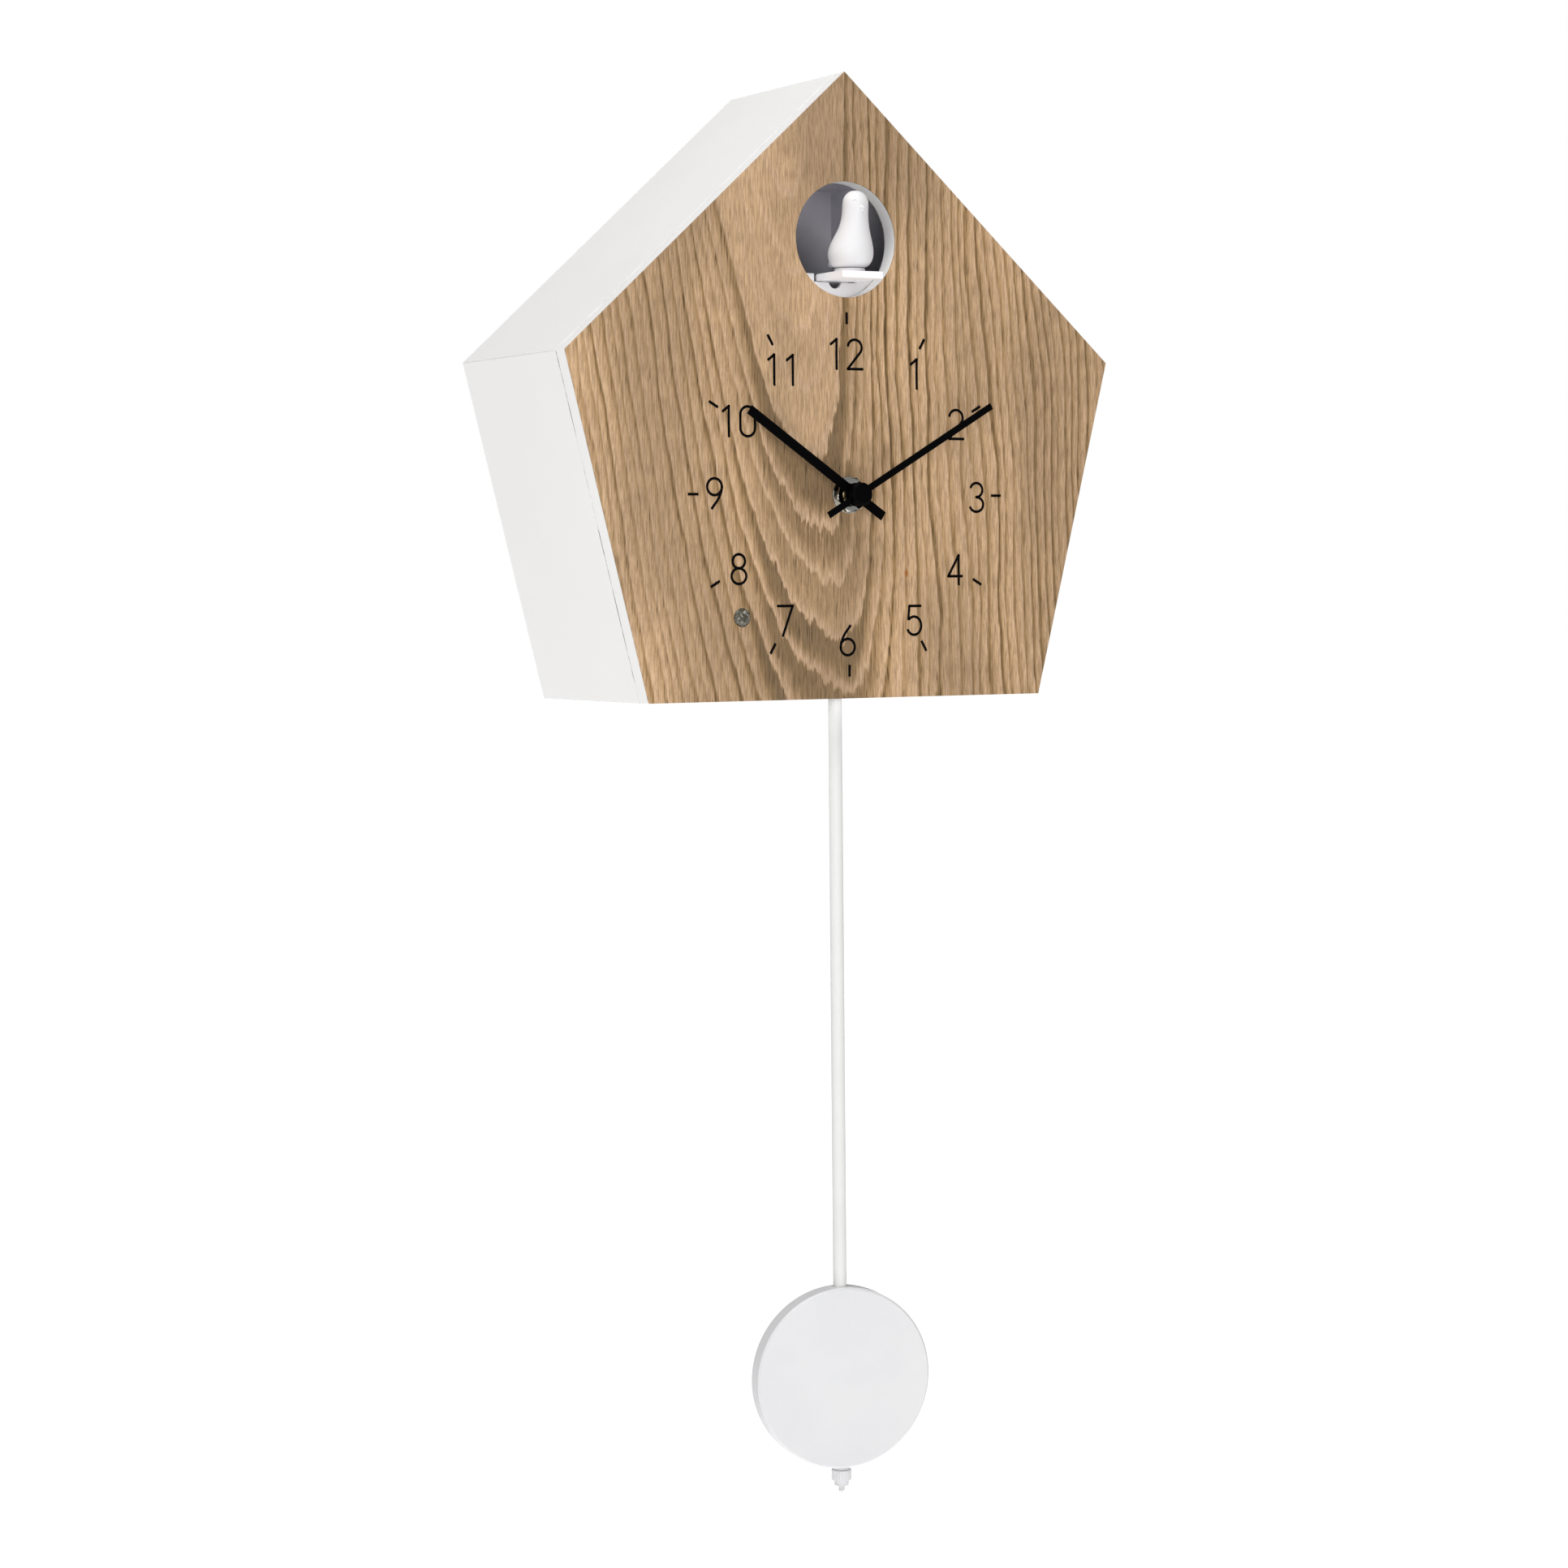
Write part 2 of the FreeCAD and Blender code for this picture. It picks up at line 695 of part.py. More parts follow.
def make_hands():
    start = face_y - hour_stand - hand_thick / 2
    hour = hand_shape(hour_length, hour_width, hour_tail, hour_angle, hour_stand)
    hour = hour.fuse(rod_along("y", centre_at, 3.1, start, start + 1.4))
    save("hour_hand", hour.cut(rod_along("y", centre_at, tube_radius - 0.43, start - 1, start + 2)))
    start = face_y - minute_stand - hand_thick / 2
    minute = hand_shape(minute_length, minute_width, minute_tail, minute_angle, minute_stand)
    save("minute_hand", minute.cut(rod_along("y", centre_at, 1.0, start - 1, start + 2)))
    cap = turned([(0, 0), (hand_hub - 1.0, 0), (hand_hub, 0.7), (hand_hub, cap_height), (0, cap_height)],
                 (0, start - cap_height, dial_z), "y")
    save("hand_cap", cap.cut(rod_along("y", centre_at, 1.0, face_y - minute_stand - 1.6, start)))


# Bird and its drive

rack_line = tongue_half + 1.15 * rack_module
drive_at = (rack_line + rack_module * rack_pinion_teeth / 2, perch_y + perch_length + 36.6)
motor_at = beside(drive_at, centres(spur_teeth, motor_teeth, spur_module), 60)
tray_front = inner_y + 0.4
tray_back = tray_front + tray_length
gear_low = tray_z + 1.4
gear_thick = 2.2
rack_angle = math.pi
spur_angle = 0.0
motor_pinion_angle = gear_angle(spur_angle, spur_teeth, motor_teeth, math.radians(60))


def rack_teeth():
    """Teeth on the tongue's right edge; a gap faces the pinion when the bird is out."""
    pitch = math.pi * rack_module
    teeth = []
    for k in range(16):
        y = drive_at[1] + (1.5 - k) * pitch
        root = tongue_half - 0.3
        tip = rack_line + 0.75 * rack_module
        points = [(root, y - 0.22 * pitch), (tip, y - 0.1 * pitch),
                  (tip, y + 0.1 * pitch), (root, y + 0.22 * pitch)]
        teeth.append(prism_z(points, perch_z - perch_thick, perch_z))
    return teeth


def make_platform():
    base = perch_z - perch_thick
    plate = box(-perch_half, perch_half, perch_y, perch_y + perch_length, base, perch_z)
    tongue = box(-tongue_half, tongue_half, perch_y + perch_length, drive_at[1] + 4.0, base, perch_z)
    ring = rod_along("z", (0, bird_y), 5.9, perch_z, perch_z + 1.5)
    save("bird_platform", joined([plate, tongue] + rack_teeth() + [ring]))


def make_bird():
    """An upright body with its head forward, a short tail and a small beak."""
    rows = [(1.5, 0.55, 0.2), (2.3, 0.77, 0.4), (3.8, 0.93, 0.7), (6.0, 1.0, 0.8), (8.4, 1.0, 1.0),
            (10.8, 0.93, 1.5), (13.3, 0.82, 2.3), (15.9, 0.69, 3.3), (18.7, 0.61, 4.0), (21.5, 0.57, 4.4),
            (25.8, 0.57, 4.7), (27.5, 0.54, 4.8), (29.0, 0.44, 4.8), (30.2, 0.27, 4.8)]
    wires = []
    for height, share, forward in rows:
        circle = Part.makeCircle(share * bird_width / 2, Vec(0, bird_y - forward, perch_z + height))
        wires.append(Part.Wire(circle))
    body = Part.makeLoft(wires, True, True)
    top_height, top_share, top_forward = rows[-1]
    beak = Part.makeCone(1.9, 0.3, 4.4, Vec(0, bird_y - 7.4, perch_z + 24.2), Vec(0, -1, -0.12))
    tail = prism_z([(-4.0, bird_y + 3.0), (4.0, bird_y + 3.0), (3.2, bird_y + 11.5), (-3.2, bird_y + 11.5)],
                   perch_z + 2.2, perch_z + 5.4)
    dome = Part.makeSphere(top_share * bird_width / 2, Vec(0, bird_y - top_forward, perch_z + top_height))
    dome = dome.common(box(-9, 9, bird_y - 12, bird_y + 12, perch_z + top_height, perch_z + bird_height))
    save("bird", joined([body, beak, tail, dome]))


def make_tray():
    """The bird's mechanism stands on a tray with a low front wall and a guide for the tongue."""
    half = tray_half
    floor = box(-half, half, tray_front, tray_back, tray_z - tray_wall, tray_z)
    front = box(-half, half, tray_front, tray_front + tray_wall, tray_z, perch_z + 0.4)
    base = perch_z - perch_thick
    notch = box(-perch_half - cover_gap, perch_half + cover_gap, tray_front, tray_front + tray_wall,
                base - slide_gap, perch_z + 1)
    finger = rod_along("y", (0, base + 0.3), 2.8, tray_front, tray_front + tray_wall)
    front = front.cut(notch).cut(finger)
    sides = [box(-half, -half + tray_wall, tray_front, tray_back, tray_z, tray_z + 6.0),
             box(half - tray_wall, half, tray_front, tray_back, tray_z, tray_z + 6.0)]
    rail_y = perch_y + perch_length + bird_travel + 1.5
    rail = box(-rail_outer, -3.0, rail_y, tray_back - 4.0, tray_z, perch_z + rail_rise)
    rail = rail.cut(box(-tongue_half - slide_gap, 0, rail_y, tray_back - 4.0,
                        base - slide_gap, perch_z + slide_gap))
    lug_x = half + 5.0
    lug_z = tray_z + 6.0
    lugs = [box(-lug_x - 4.5, -half, inner_y, inner_y + lug_thick, lug_z - 5.0, lug_z + 5.0),
            box(half, lug_x + 4.5, inner_y, inner_y + lug_thick, lug_z - 5.0, lug_z + 5.0)]
    tray = joined([floor, front, rail] + sides + lugs)
    for side in (-1, 1):
        tray = tray.cut(screw_hole(side * lug_x, lug_z, inner_y + lug_thick))
    tray = tray.cut(rod_along("z", motor_at, 3.0, tray_z - tray_wall, tray_z))
    axle = rod_along("z", drive_at, shaft_radius, tray_z, perch_z + 1.0)
    seat = rod_along("z", drive_at, 2.6, tray_z, gear_low - slide_gap)
    save("bird_tray", joined([tray, axle, seat]))


def make_chamber():
    """A dark box round the bird when it is in."""
    half = tray_half
    low = tray_z + 6.0
    high = door_z + door_radius + 3.5
    end = tray_front + chamber_depth + 1.2
    under_roof = panel_thick + 0.5
    shell = box(-half, half, tray_front, end, low, high)
    shell = shell.common(prism_y(case_outline(under_roof), tray_front, end))
    hollow = box(-half + chamber_wall, half - chamber_wall, tray_front - 1, end - chamber_wall,
                 low - 1, high - chamber_wall)
    hollow = hollow.common(prism_y(case_outline(under_roof + chamber_wall), tray_front - 1, end))
    shell = shell.cut(hollow)
    front_wall = box(-half, half, tray_front, tray_front + tray_wall + 0.1, low, perch_z + 0.5)
    way_out = box(-rail_outer - 0.5, tongue_half + 3.2, end - chamber_wall, end, low, perch_z + rail_rise + 0.3)
    shell = shell.cut(front_wall).cut(way_out)
    save("bird_chamber", shell)


def make_drive():
    start = perch_z - perch_thick - 0.1
    spur = gear_z(drive_at, spur_teeth, spur_module, spur_angle, gear_low, gear_low + gear_thick)
    neck = rod_along("z", drive_at, 3.4, gear_low, start)
    pinion = gear_z(drive_at, rack_pinion_teeth, rack_module, rack_angle, start, perch_z + 0.2)
    gear = joined([spur, neck, pinion])
    save("drive_gear", gear.cut(rod_along("z", drive_at, shaft_radius + run_gap, gear_low, perch_z + 0.2)))
    leaf = gear_z(motor_at, motor_teeth, spur_module, motor_pinion_angle,
                  gear_low - 0.3, gear_low + gear_thick + 0.3)
    shaft = rod_along("z", motor_at, 0.7, tray_z - tray_wall - 2.0, gear_low)
    save("motor_pinion", joined([leaf, shaft]))
    top = tray_z - tray_wall
    can = rod_along("z", motor_at, motor_radius, top - motor_length, top)
    can = can.fuse(rod_along("z", motor_at, 2.6, top - motor_length - 1.5, top - motor_length))
    save("bird_motor", can.cut(rod_along("z", motor_at, 0.8, top - 2.5, top)))


# Pendulum

lever_front = rod_y - lever_thick / 2
bracket_front = rod_y + lever_thick / 2 + 0.9


def make_pendulum_drive():
    back = bracket_front + 11.0
    top = dial_z - move_half - 0.5
    low = pivot_z - 28.0
    body = box(-15.0, 15.0, bracket_front, back, low, top)
    legs = []
    for side in (-1, 1):
        x0, x1 = sorted((side * 15.0, side * 25.0))
        legs.append(box(x0, x1, inner_y, inner_y + lug_thick, pivot_z - 21.0, pivot_z - 11.0))
        x0, x1 = sorted((side * 12.5, side * 15.0))
        legs.append(box(x0, x1, inner_y, bracket_front + 1, pivot_z - 21.0, pivot_z - 11.0))
    body = joined([body] + legs)
    for x, y, z in board_screws()[2:]:
        body = body.cut(screw_hole(x, z, y))
    coil_at = (0, pivot_z - 20.0)
    body = body.cut(rod_along("y", coil_at, 6.2, bracket_front, bracket_front + 6.0))
    body = body.cut(rod_along("y", (0, pivot_z), pin_radius, bracket_front, back - 2))
    save("pendulum_drive", body)
    save("drive_coil", tube_along("y", coil_at, 6.0, 1.5, bracket_front + 0.6, bracket_front + 6.0))
    pin = joined([rod_along("y", (0, pivot_z), pin_radius, lever_front - 0.9, back - 2),
                  rod_along("y", (0, pivot_z), 2.0, lever_front - 1.3, lever_front - 0.4)])
    save("pivot_pin", pin)


def make_lever():
    low = hook_z - 3.0
    thin = 0.8
    lever = box(-lever_half, lever_half, lever_front, lever_front + lever_thick, hook_z + 4.5, pivot_z)
    lever = joined([lever, rod_along("y", (0, pivot_z), lever_half, lever_front, lever_front + lever_thick),
                    box(-2.6, 2.6, rod_y - thin, rod_y + thin, low, hook_z + 4.5)])
    lever = lever.cut(rod_along("y", (0, pivot_z), pin_radius + run_gap,
                                lever_front, lever_front + lever_thick))
    lever = lever.cut(rod_along("y", (0, hook_z), 1.0, rod_y - 1, rod_y + 1))
    magnet_at = (0, pivot_z - 20.0)
    lever = lever.cut(rod_along("y", magnet_at, 3.0, rod_y - 0.6, lever_front + lever_thick))
    save("swing_lever", lever)
    save("lever_magnet", rod_along("y", magnet_at, 3.0, rod_y - 0.6, lever_front + lever_thick))


def make_rod():
    place = (0, rod_y)
    rod_low = bob_base + 9.0
    save("pendulum_rod", tube_along("z", place, rod_radius, rod_bore, rod_low, rod_top))
    fork = box(-2.4, 2.4, rod_y - 2.3, rod_y + 2.3, rod_top, hook_z + 2.6)
    fork = fork.cut(box(-2.4, 2.4, rod_y - 1.0, rod_y + 1.0, rod_top + 1.2, hook_z + 2.6))
    fork = joined([fork, rod_along("y", (0, hook_z), 0.9, rod_y - 2.3, rod_y + 2.3),
                   rod_along("z", place, rod_bore, rod_top - 10.0, rod_top)])
    save("rod_hook", fork)
    stud = joined([rod_along("z", place, rod_bore, rod_low, rod_low + 12.0),
                   rod_along("z", place, stud_radius, tip_z + 0.4, rod_low),
                   Part.makeCone(stud_radius, stud_radius - 0.4, 0.4,
                                 Vec(0, rod_y, tip_z + 0.4), Vec(0, 0, -1))])
    save("thread_stud", stud)


def make_bob():
    place = (0, rod_y)
    half = bob_thick / 2
    profile = [(0, -half), (bob_radius - bob_edge, -half), (bob_radius, -half + bob_edge),
               (bob_radius, half - bob_edge), (bob_radius - bob_edge, half), (0, half)]
    disc = turned(profile, (0, rod_y, bob_z), "y")
    disc = disc.cut(rod_along("z", place, rod_radius + run_gap, bob_base - 1, bob_z + bob_radius + 1))
    disc.rotate(Vec(0, rod_y, 0), Vec(0, 0, 1), -bob_turned)
    save("bob", disc)
    flange_top = bob_base - 0.1
    flange = flange_top - bush_flange_thick
    bush = joined([rod_along("z", place, bush_flange, flange, flange_top),
                   rod_along("z", place, rod_radius, flange_top, bob_base + 4.5)])
    save("bob_bush", bush.cut(rod_along("z", place, stud_radius + run_gap, flange, bob_base + 5)))
    top = flange - 0.05
    nut = rod_along("z", place, rating_radius, top - rating_thick, top)
    for k in range(16):
        a = 2 * math.pi * k / 16
        groove = (rating_radius * 1.04 * math.cos(a), rod_y + rating_radius * 1.04 * math.sin(a))
        nut = nut.cut(rod_along("z", groove, 0.4, top - rating_thick, top))
    nut = nut.fuse(rod_along("z", place, collar_radius, top - rating_thick - collar_thick, top - rating_thick))
    save("rating_nut", nut.cut(rod_along("z", place, stud_radius + 0.05, top - 8, top)))


# Power, sound and light sensor

def make_battery_holder():
    front = holder_front()
    back = front + 2.0 + 2 * cell_radius + 0.6
    low = bottom_z + panel_thick
    pitch = 2 * cell_radius + 0.6
    high = low + holder_wall + cell_count * pitch + holder_wall
    tray = box(-holder_half, holder_half, front, back, low, high)
    tray = tray.cut(box(-holder_half + holder_wall, holder_half - holder_wall, front + 2.0, back,
                        low + holder_wall, high - holder_wall))
    for x, y in holder_screws():
        tray = tray.fuse(box(x - 4.5, x + 4.5, front - 8.0, front, low, low + 2.0))
    tray = tray.removeSplitter()
    save("battery_holder", tray)
    cells = []
    contacts = []
    y = front + 2.0 + cell_radius + 0.3
    for k in range(cell_count):
        z = low + holder_wall + (k + 0.5) * pitch
        side = 1 if k % 2 == 0 else -1
        cell = Part.makeCylinder(cell_radius, cell_length, Vec(-side * cell_length / 2, y, z), Vec(side, 0, 0))
        nub = Part.makeCylinder(2.6, 1.4, Vec(side * cell_length / 2, y, z), Vec(side, 0, 0))
        cells.append(cell.fuse(nub))
        inner = holder_half - holder_wall
        for end, reach in ((side, cell_length / 2 + 1.4), (-side, cell_length / 2)):
            x0, x1 = sorted((end * (inner - 0.4), end * inner))
            plate = box(x0, x1, y - 5.0, y + 5.0, z - 5.0, z + 5.0)
            point = Part.makeCone(3.4, 1.8, inner - 0.4 - reach,
                                  Vec(end * (inner - 0.4), y, z), Vec(-end, 0, 0))
            contacts.append(plate.fuse(point))
    save("battery_cells", Part.makeCompound(cells))
    save("battery_contacts", Part.makeCompound(contacts))


def make_speaker():
    z = apex_z - speaker_drop
    back = -back_thick
    frame = turned([(speaker_radius - 4, 0), (speaker_radius, 0), (speaker_radius, -1.6),
                    (speaker_radius - 3, -1.6), (12.5, -9.0), (12.5, -10.2), (10.8, -10.2), (10.8, -8.6),
                    (speaker_radius - 4.6, -1.6)],
                   (speaker_x, back, z), "y")
    ears = [frame]
    for x, sz in speaker_screws():
        ears.append(rod_along("y", (x, sz), 4.0, back - 1.6, back))
    frame = joined(ears)
    frame = frame.cut(rod_along("y", (speaker_x, z), speaker_radius - 4, back - 1.6, back))
    for x, sz in speaker_screws():
        frame = frame.cut(screw_hole(x, sz, 0))
    save("speaker_frame", frame)
    cone = turned([(0, -7.4), (6.0, -7.4), (speaker_radius - 5.0, -0.4), (speaker_radius - 4.2, -0.4),
                   (speaker_radius - 4.2, -0.8), (speaker_radius - 5.1, -0.9), (6.2, -8.0), (0, -8.0)],
                  (speaker_x, back, z), "y")
    save("speaker_cone", cone)
    magnet = turned([(0, -10.2), (12.4, -10.2), (12.4, -17.0), (0, -17.0)], (speaker_x, back, z), "y")
    save("speaker_magnet", magnet)


def make_sound_board():
    z = apex_z - switch_drop
    back = -back_thick - 5.0
    board = box(switch_x - 20.0, switch_x + 20.0, back - 1.6, back, z - 14.0, z + 14.0)
    chip = box(switch_x - 14.0, switch_x - 6.0, back - 3.4, back - 1.6, z - 6.0, z + 6.0)
    can = rod_along("y", (switch_x + 10.0, z + 7.0), 3.2, back - 9.0, back - 1.6)
    posts = [rod_along("y", (switch_x + sx * 17.0, z + sz * 11.0), 2.2, back, -back_thick)
             for sx in (-1, 1) for sz in (-1, 1)]
    middle = switch_x + switch_travel / 2
    body = box(middle - 9.0, middle + 9.0, back, -back_thick - 0.4, z - 4.0, z + 4.0)
    body = body.cut(box(switch_x - 2.5, switch_x + switch_travel + 2.5, back + 1.5, 0, z - 2.2, z + 2.2))
    save("sound_board", joined([board, chip, can, body] + posts))
    knob = box(switch_x - 1.8, switch_x + 1.8, back + 1.9, -0.6, z - 1.8, z + 1.8)
    save("switch_knob", knob)


def make_light_sensor():
    lens = turned([(0, 0), (1.9, 0), (3.0, 0.5), (lens_radius, 1.3), (lens_radius, 9.1), (0, 9.1)],
                  (lens_x, face_y - 0.7, lens_z), "y")
    base = rod_along("y", (lens_x, lens_z), lens_radius + 1.5, inner_y, inner_y + 3.0)
    save("light_sensor", joined([lens, base]))


# Leads inside the case: straight runs joined by tangent arcs

def lead_path(points):
    """A wire of runs and arcs through the route's points; each arc is as large as its runs allow."""
    rows = [Vec(*p) for p in points]
    edges = []
    radii = []
    last = rows[0]
    for k in range(1, len(rows) - 1):
        before = rows[k - 1] - rows[k]
        after = rows[k + 1] - rows[k]
        turn = math.pi - before.getAngle(after)
        cut_back = 0.45 * min(before.Length, after.Length)
        radius = cut_back / math.tan(turn / 2)
        radii.append(round(radius, 1))
        start = rows[k] + before * (cut_back / before.Length)
        end = rows[k] + after * (cut_back / after.Length)
        middle_way = before * (1 / before.Length) + after * (1 / after.Length)
        middle_way = middle_way * (1 / middle_way.Length)
        middle = rows[k] + middle_way * (radius / math.cos(turn / 2) - radius)
        edges.append(Part.LineSegment(last, start).toShape())
        edges.append(Part.Arc(start, middle, end).toShape())
        last = end
    edges.append(Part.LineSegment(last, rows[-1]).toShape())
    return Part.Wire(edges), radii


def make_lead(points):
    path, radii = lead_path(points)
    start = Vec(*points[0])
    along = Vec(*points[1]) - start
    ring = Part.Wire(Part.makeCircle(lead_radius, start, along))
    tube = path.makePipeShell([ring], True, False)
    ideal = math.pi * lead_radius ** 2 * path.Length
    print("lead radii", radii, "volume ratio", round(tube.Volume / ideal, 4))
    return tube


def make_leads():
    """Two leads from the speaker to the sound board and two from the battery holder."""
    z = apex_z - speaker_drop
    board_back = -back_thick - 6.6
    board_base = apex_z - switch_drop - 14.0
    speaker_end = speaker_x - 12.5
    cell_end = holder_front() + 8.0
    leads = []
    for k in range(2):
        lift = 3.0 * k
        leads.append(make_lead([
            (speaker_end, -19.0 - lift, z), (speaker_end - 14, -21.0 - lift, z - 4),
            (speaker_end - 30, -24.0 - lift, z - 3 + lift), (switch_x + 36, -24.0 - lift, z + 3 + lift),
            (switch_x + 24, -18.0 - lift, z + 2 + lift), (switch_x + 16, board_back - 4 - lift, z - 4 + lift),
            (switch_x + 12 - 4 * k, board_back, z - 9)]))
        rise = 5.0 * k
        leads.append(make_lead([
            (-holder_half, cell_end, bottom_z + 26 + rise),
            (-holder_half - 9, cell_end - 1, bottom_z + 32 + rise),
            (-holder_half - 13 - rise / 3, cell_end - 1, bottom_z + 49 + rise),
            (-holder_half - 16 - rise / 3, cell_end - 1, board_base - 49),
            (-holder_half - 20 - rise / 3, cell_end + 2, board_base - 28),
            (switch_x + 6 - rise / 2, cell_end + 9, board_base - 14),
            (switch_x + 4 - rise / 2, board_back - 3.4, board_base - 5),
            (switch_x + 3 - rise / 2, board_back + 0.8, board_base)]))
    save("internal_leads", Part.makeCompound(leads))


os.makedirs("parts", exist_ok=True)
make_case_panels()
make_front()
make_dial_ticks()
make_back_panel()
make_glue_blocks()
make_hanger()
make_access_cover()
make_wood_screws()
make_housing()
make_lid()
make_bush()
make_dial_nut()
make_motion_work()
make_centre_wheel()
make_train()
make_stepper()
make_circuit_board()
make_hands()
make_platform()
make_bird()
make_tray()
make_chamber()
make_drive()
make_pendulum_drive()
make_lever()
make_rod()
make_bob()
make_battery_holder()
make_speaker()
make_sound_board()
make_light_sensor()
make_leads()
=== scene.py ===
import json
import math
import bpy
from mathutils import Matrix, Vector


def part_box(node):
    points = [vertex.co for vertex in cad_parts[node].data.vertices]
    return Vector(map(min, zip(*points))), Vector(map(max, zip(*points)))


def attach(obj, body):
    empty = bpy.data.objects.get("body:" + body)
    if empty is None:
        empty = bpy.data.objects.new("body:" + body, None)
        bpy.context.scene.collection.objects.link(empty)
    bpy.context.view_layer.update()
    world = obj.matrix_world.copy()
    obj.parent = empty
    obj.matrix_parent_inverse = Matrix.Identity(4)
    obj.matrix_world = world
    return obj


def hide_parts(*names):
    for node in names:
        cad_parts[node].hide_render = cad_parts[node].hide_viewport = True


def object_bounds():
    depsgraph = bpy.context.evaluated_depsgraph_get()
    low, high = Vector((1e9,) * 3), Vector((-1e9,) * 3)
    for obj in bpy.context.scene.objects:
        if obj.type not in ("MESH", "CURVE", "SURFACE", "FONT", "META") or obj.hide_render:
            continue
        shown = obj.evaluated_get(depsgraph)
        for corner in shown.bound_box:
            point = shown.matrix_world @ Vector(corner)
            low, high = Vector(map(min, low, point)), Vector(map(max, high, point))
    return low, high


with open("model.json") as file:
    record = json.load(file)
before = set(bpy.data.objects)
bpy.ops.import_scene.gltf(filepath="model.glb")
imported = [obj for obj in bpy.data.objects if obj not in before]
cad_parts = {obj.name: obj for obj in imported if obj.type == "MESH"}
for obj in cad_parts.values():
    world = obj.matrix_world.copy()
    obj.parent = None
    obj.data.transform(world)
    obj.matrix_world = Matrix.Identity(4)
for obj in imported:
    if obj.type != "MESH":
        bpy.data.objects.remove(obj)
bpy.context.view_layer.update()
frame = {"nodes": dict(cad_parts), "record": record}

nodes = frame["nodes"]
mm = 0.001


def nodeBody(node):
    for body, members in frame["record"]["behaviour"]["bodies"].items():
        if node in members:
            return body


def nodeSlot(node):
    for row in frame["record"]["subparts"]:
        if row["node"] == node:
            return row["material_slot"]


def jointPlace(name):
    for joint in frame["record"]["behaviour"]["joints"]:
        if joint["name"] == name:
            return Vector(joint["pos_m"])


def middle(node):
    low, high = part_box(node)
    return (Vector(low) + Vector(high)) / 2


# colour given as it is seen, 0 to 255, made linear for the shader
def seen(r, g, b, alpha=1.0):
    out = []
    for value in (r, g, b):
        v = value / 255
        out.append(v / 12.92 if v <= 0.04045 else ((v + 0.055) / 1.055) ** 2.4)
    return (*out, alpha)


def newMaterial(name):
    mat = bpy.data.materials.new(name)
    mat.use_nodes = True
    return mat


def shaderOf(mat):
    return mat.node_tree.nodes["Principled BSDF"]


def add(mat, kind, **values):
    node = mat.node_tree.nodes.new("ShaderNode" + kind)
    for key, value in values.items():
        if hasattr(node, key):
            setattr(node, key, value)
        else:
            node.inputs[key.replace("_", " ")].default_value = value
    return node


def join(mat, source, target):
    mat.node_tree.links.new(source, target)


def objectSpace(mat, scale=(1, 1, 1), place=(0, 0, 0), turn=(0, 0, 0)):
    coords = add(mat, "TexCoord")
    mapping = add(mat, "Mapping", vector_type="POINT")
    mapping.inputs["Scale"].default_value = scale
    mapping.inputs["Location"].default_value = place
    mapping.inputs["Rotation"].default_value = turn
    join(mat, coords.outputs["Object"], mapping.inputs["Vector"])
    return mapping.outputs["Vector"]


def noise(mat, vector, scale, detail=3.0, rough=0.5):
    tex = add(mat, "TexNoise")
    tex.inputs["Scale"].default_value = scale
    tex.inputs["Detail"].default_value = detail
    tex.inputs["Roughness"].default_value = rough
    join(mat, vector, tex.inputs["Vector"])
    return tex.outputs["Fac"]


def ramp(mat, fac, stops, mode="LINEAR"):
    node = add(mat, "ValToRGB")
    node.color_ramp.interpolation = mode
    elements = node.color_ramp.elements
    while len(elements) < len(stops):
        elements.new(0.5)
    for element, (place, colour) in zip(elements, stops):
        element.position = place
        element.color = colour if len(colour) == 4 else (*colour, 1)
    join(mat, fac, node.inputs["Fac"])
    return node.outputs["Color"]


def grey(value):
    return (value, value, value, 1)


def calc(mat, operation, first, second=0.0, third=None, clamp=False):
    node = add(mat, "Math", operation=operation, use_clamp=clamp)
    for k, value in enumerate((first, second, third)):
        if value is None:
            continue
        if isinstance(value, (int, float)):
            node.inputs[k].default_value = value
        else:
            join(mat, value, node.inputs[k])
    return node.outputs[0]


def mixColour(mat, fac, first, second, blend="MIX"):
    node = add(mat, "Mix", data_type="RGBA", blend_type=blend)
    for socket, value in ((node.inputs[0], fac), (node.inputs[6], first), (node.inputs[7], second)):
        if isinstance(value, (int, float, tuple)):
            socket.default_value = value
        else:
            join(mat, value, socket)
    return node.outputs[2]


def bumpFrom(mat, height, distance, strength=1.0):
    node = add(mat, "Bump")
    node.inputs["Strength"].default_value = strength
    node.inputs["Distance"].default_value = distance
    join(mat, height, node.inputs["Height"])
    join(mat, node.outputs["Normal"], shaderOf(mat).inputs["Normal"])


# a smooth or moulded surface: two close colours, uneven gloss and a fine bump
def plainFinish(name, light, dark, roughLow, roughHigh, grain, bump, metallic=0.0, patch=18.0, stretch=(1, 1, 1),
                **extra):
    mat = newMaterial(name)
    shader = shaderOf(mat)
    shader.inputs["Metallic"].default_value = metallic
    for key, value in extra.items():
        shader.inputs[key.replace("_", " ")].default_value = value
    space = objectSpace(mat, scale=stretch)
    cloud = noise(mat, space, patch, 4.0, 0.6)
    join(mat, ramp(mat, cloud, [(0.3, dark), (0.7, light)]), shader.inputs["Base Color"])
    fine = noise(mat, space, grain, 2.0, 0.5)
    gloss = ramp(mat, fine, [(0.3, grey(roughLow)), (0.7, grey(roughHigh))])
    join(mat, gloss, shader.inputs["Roughness"])
    bumpFrom(mat, fine, bump)
    return mat


print("stage 1: materials")

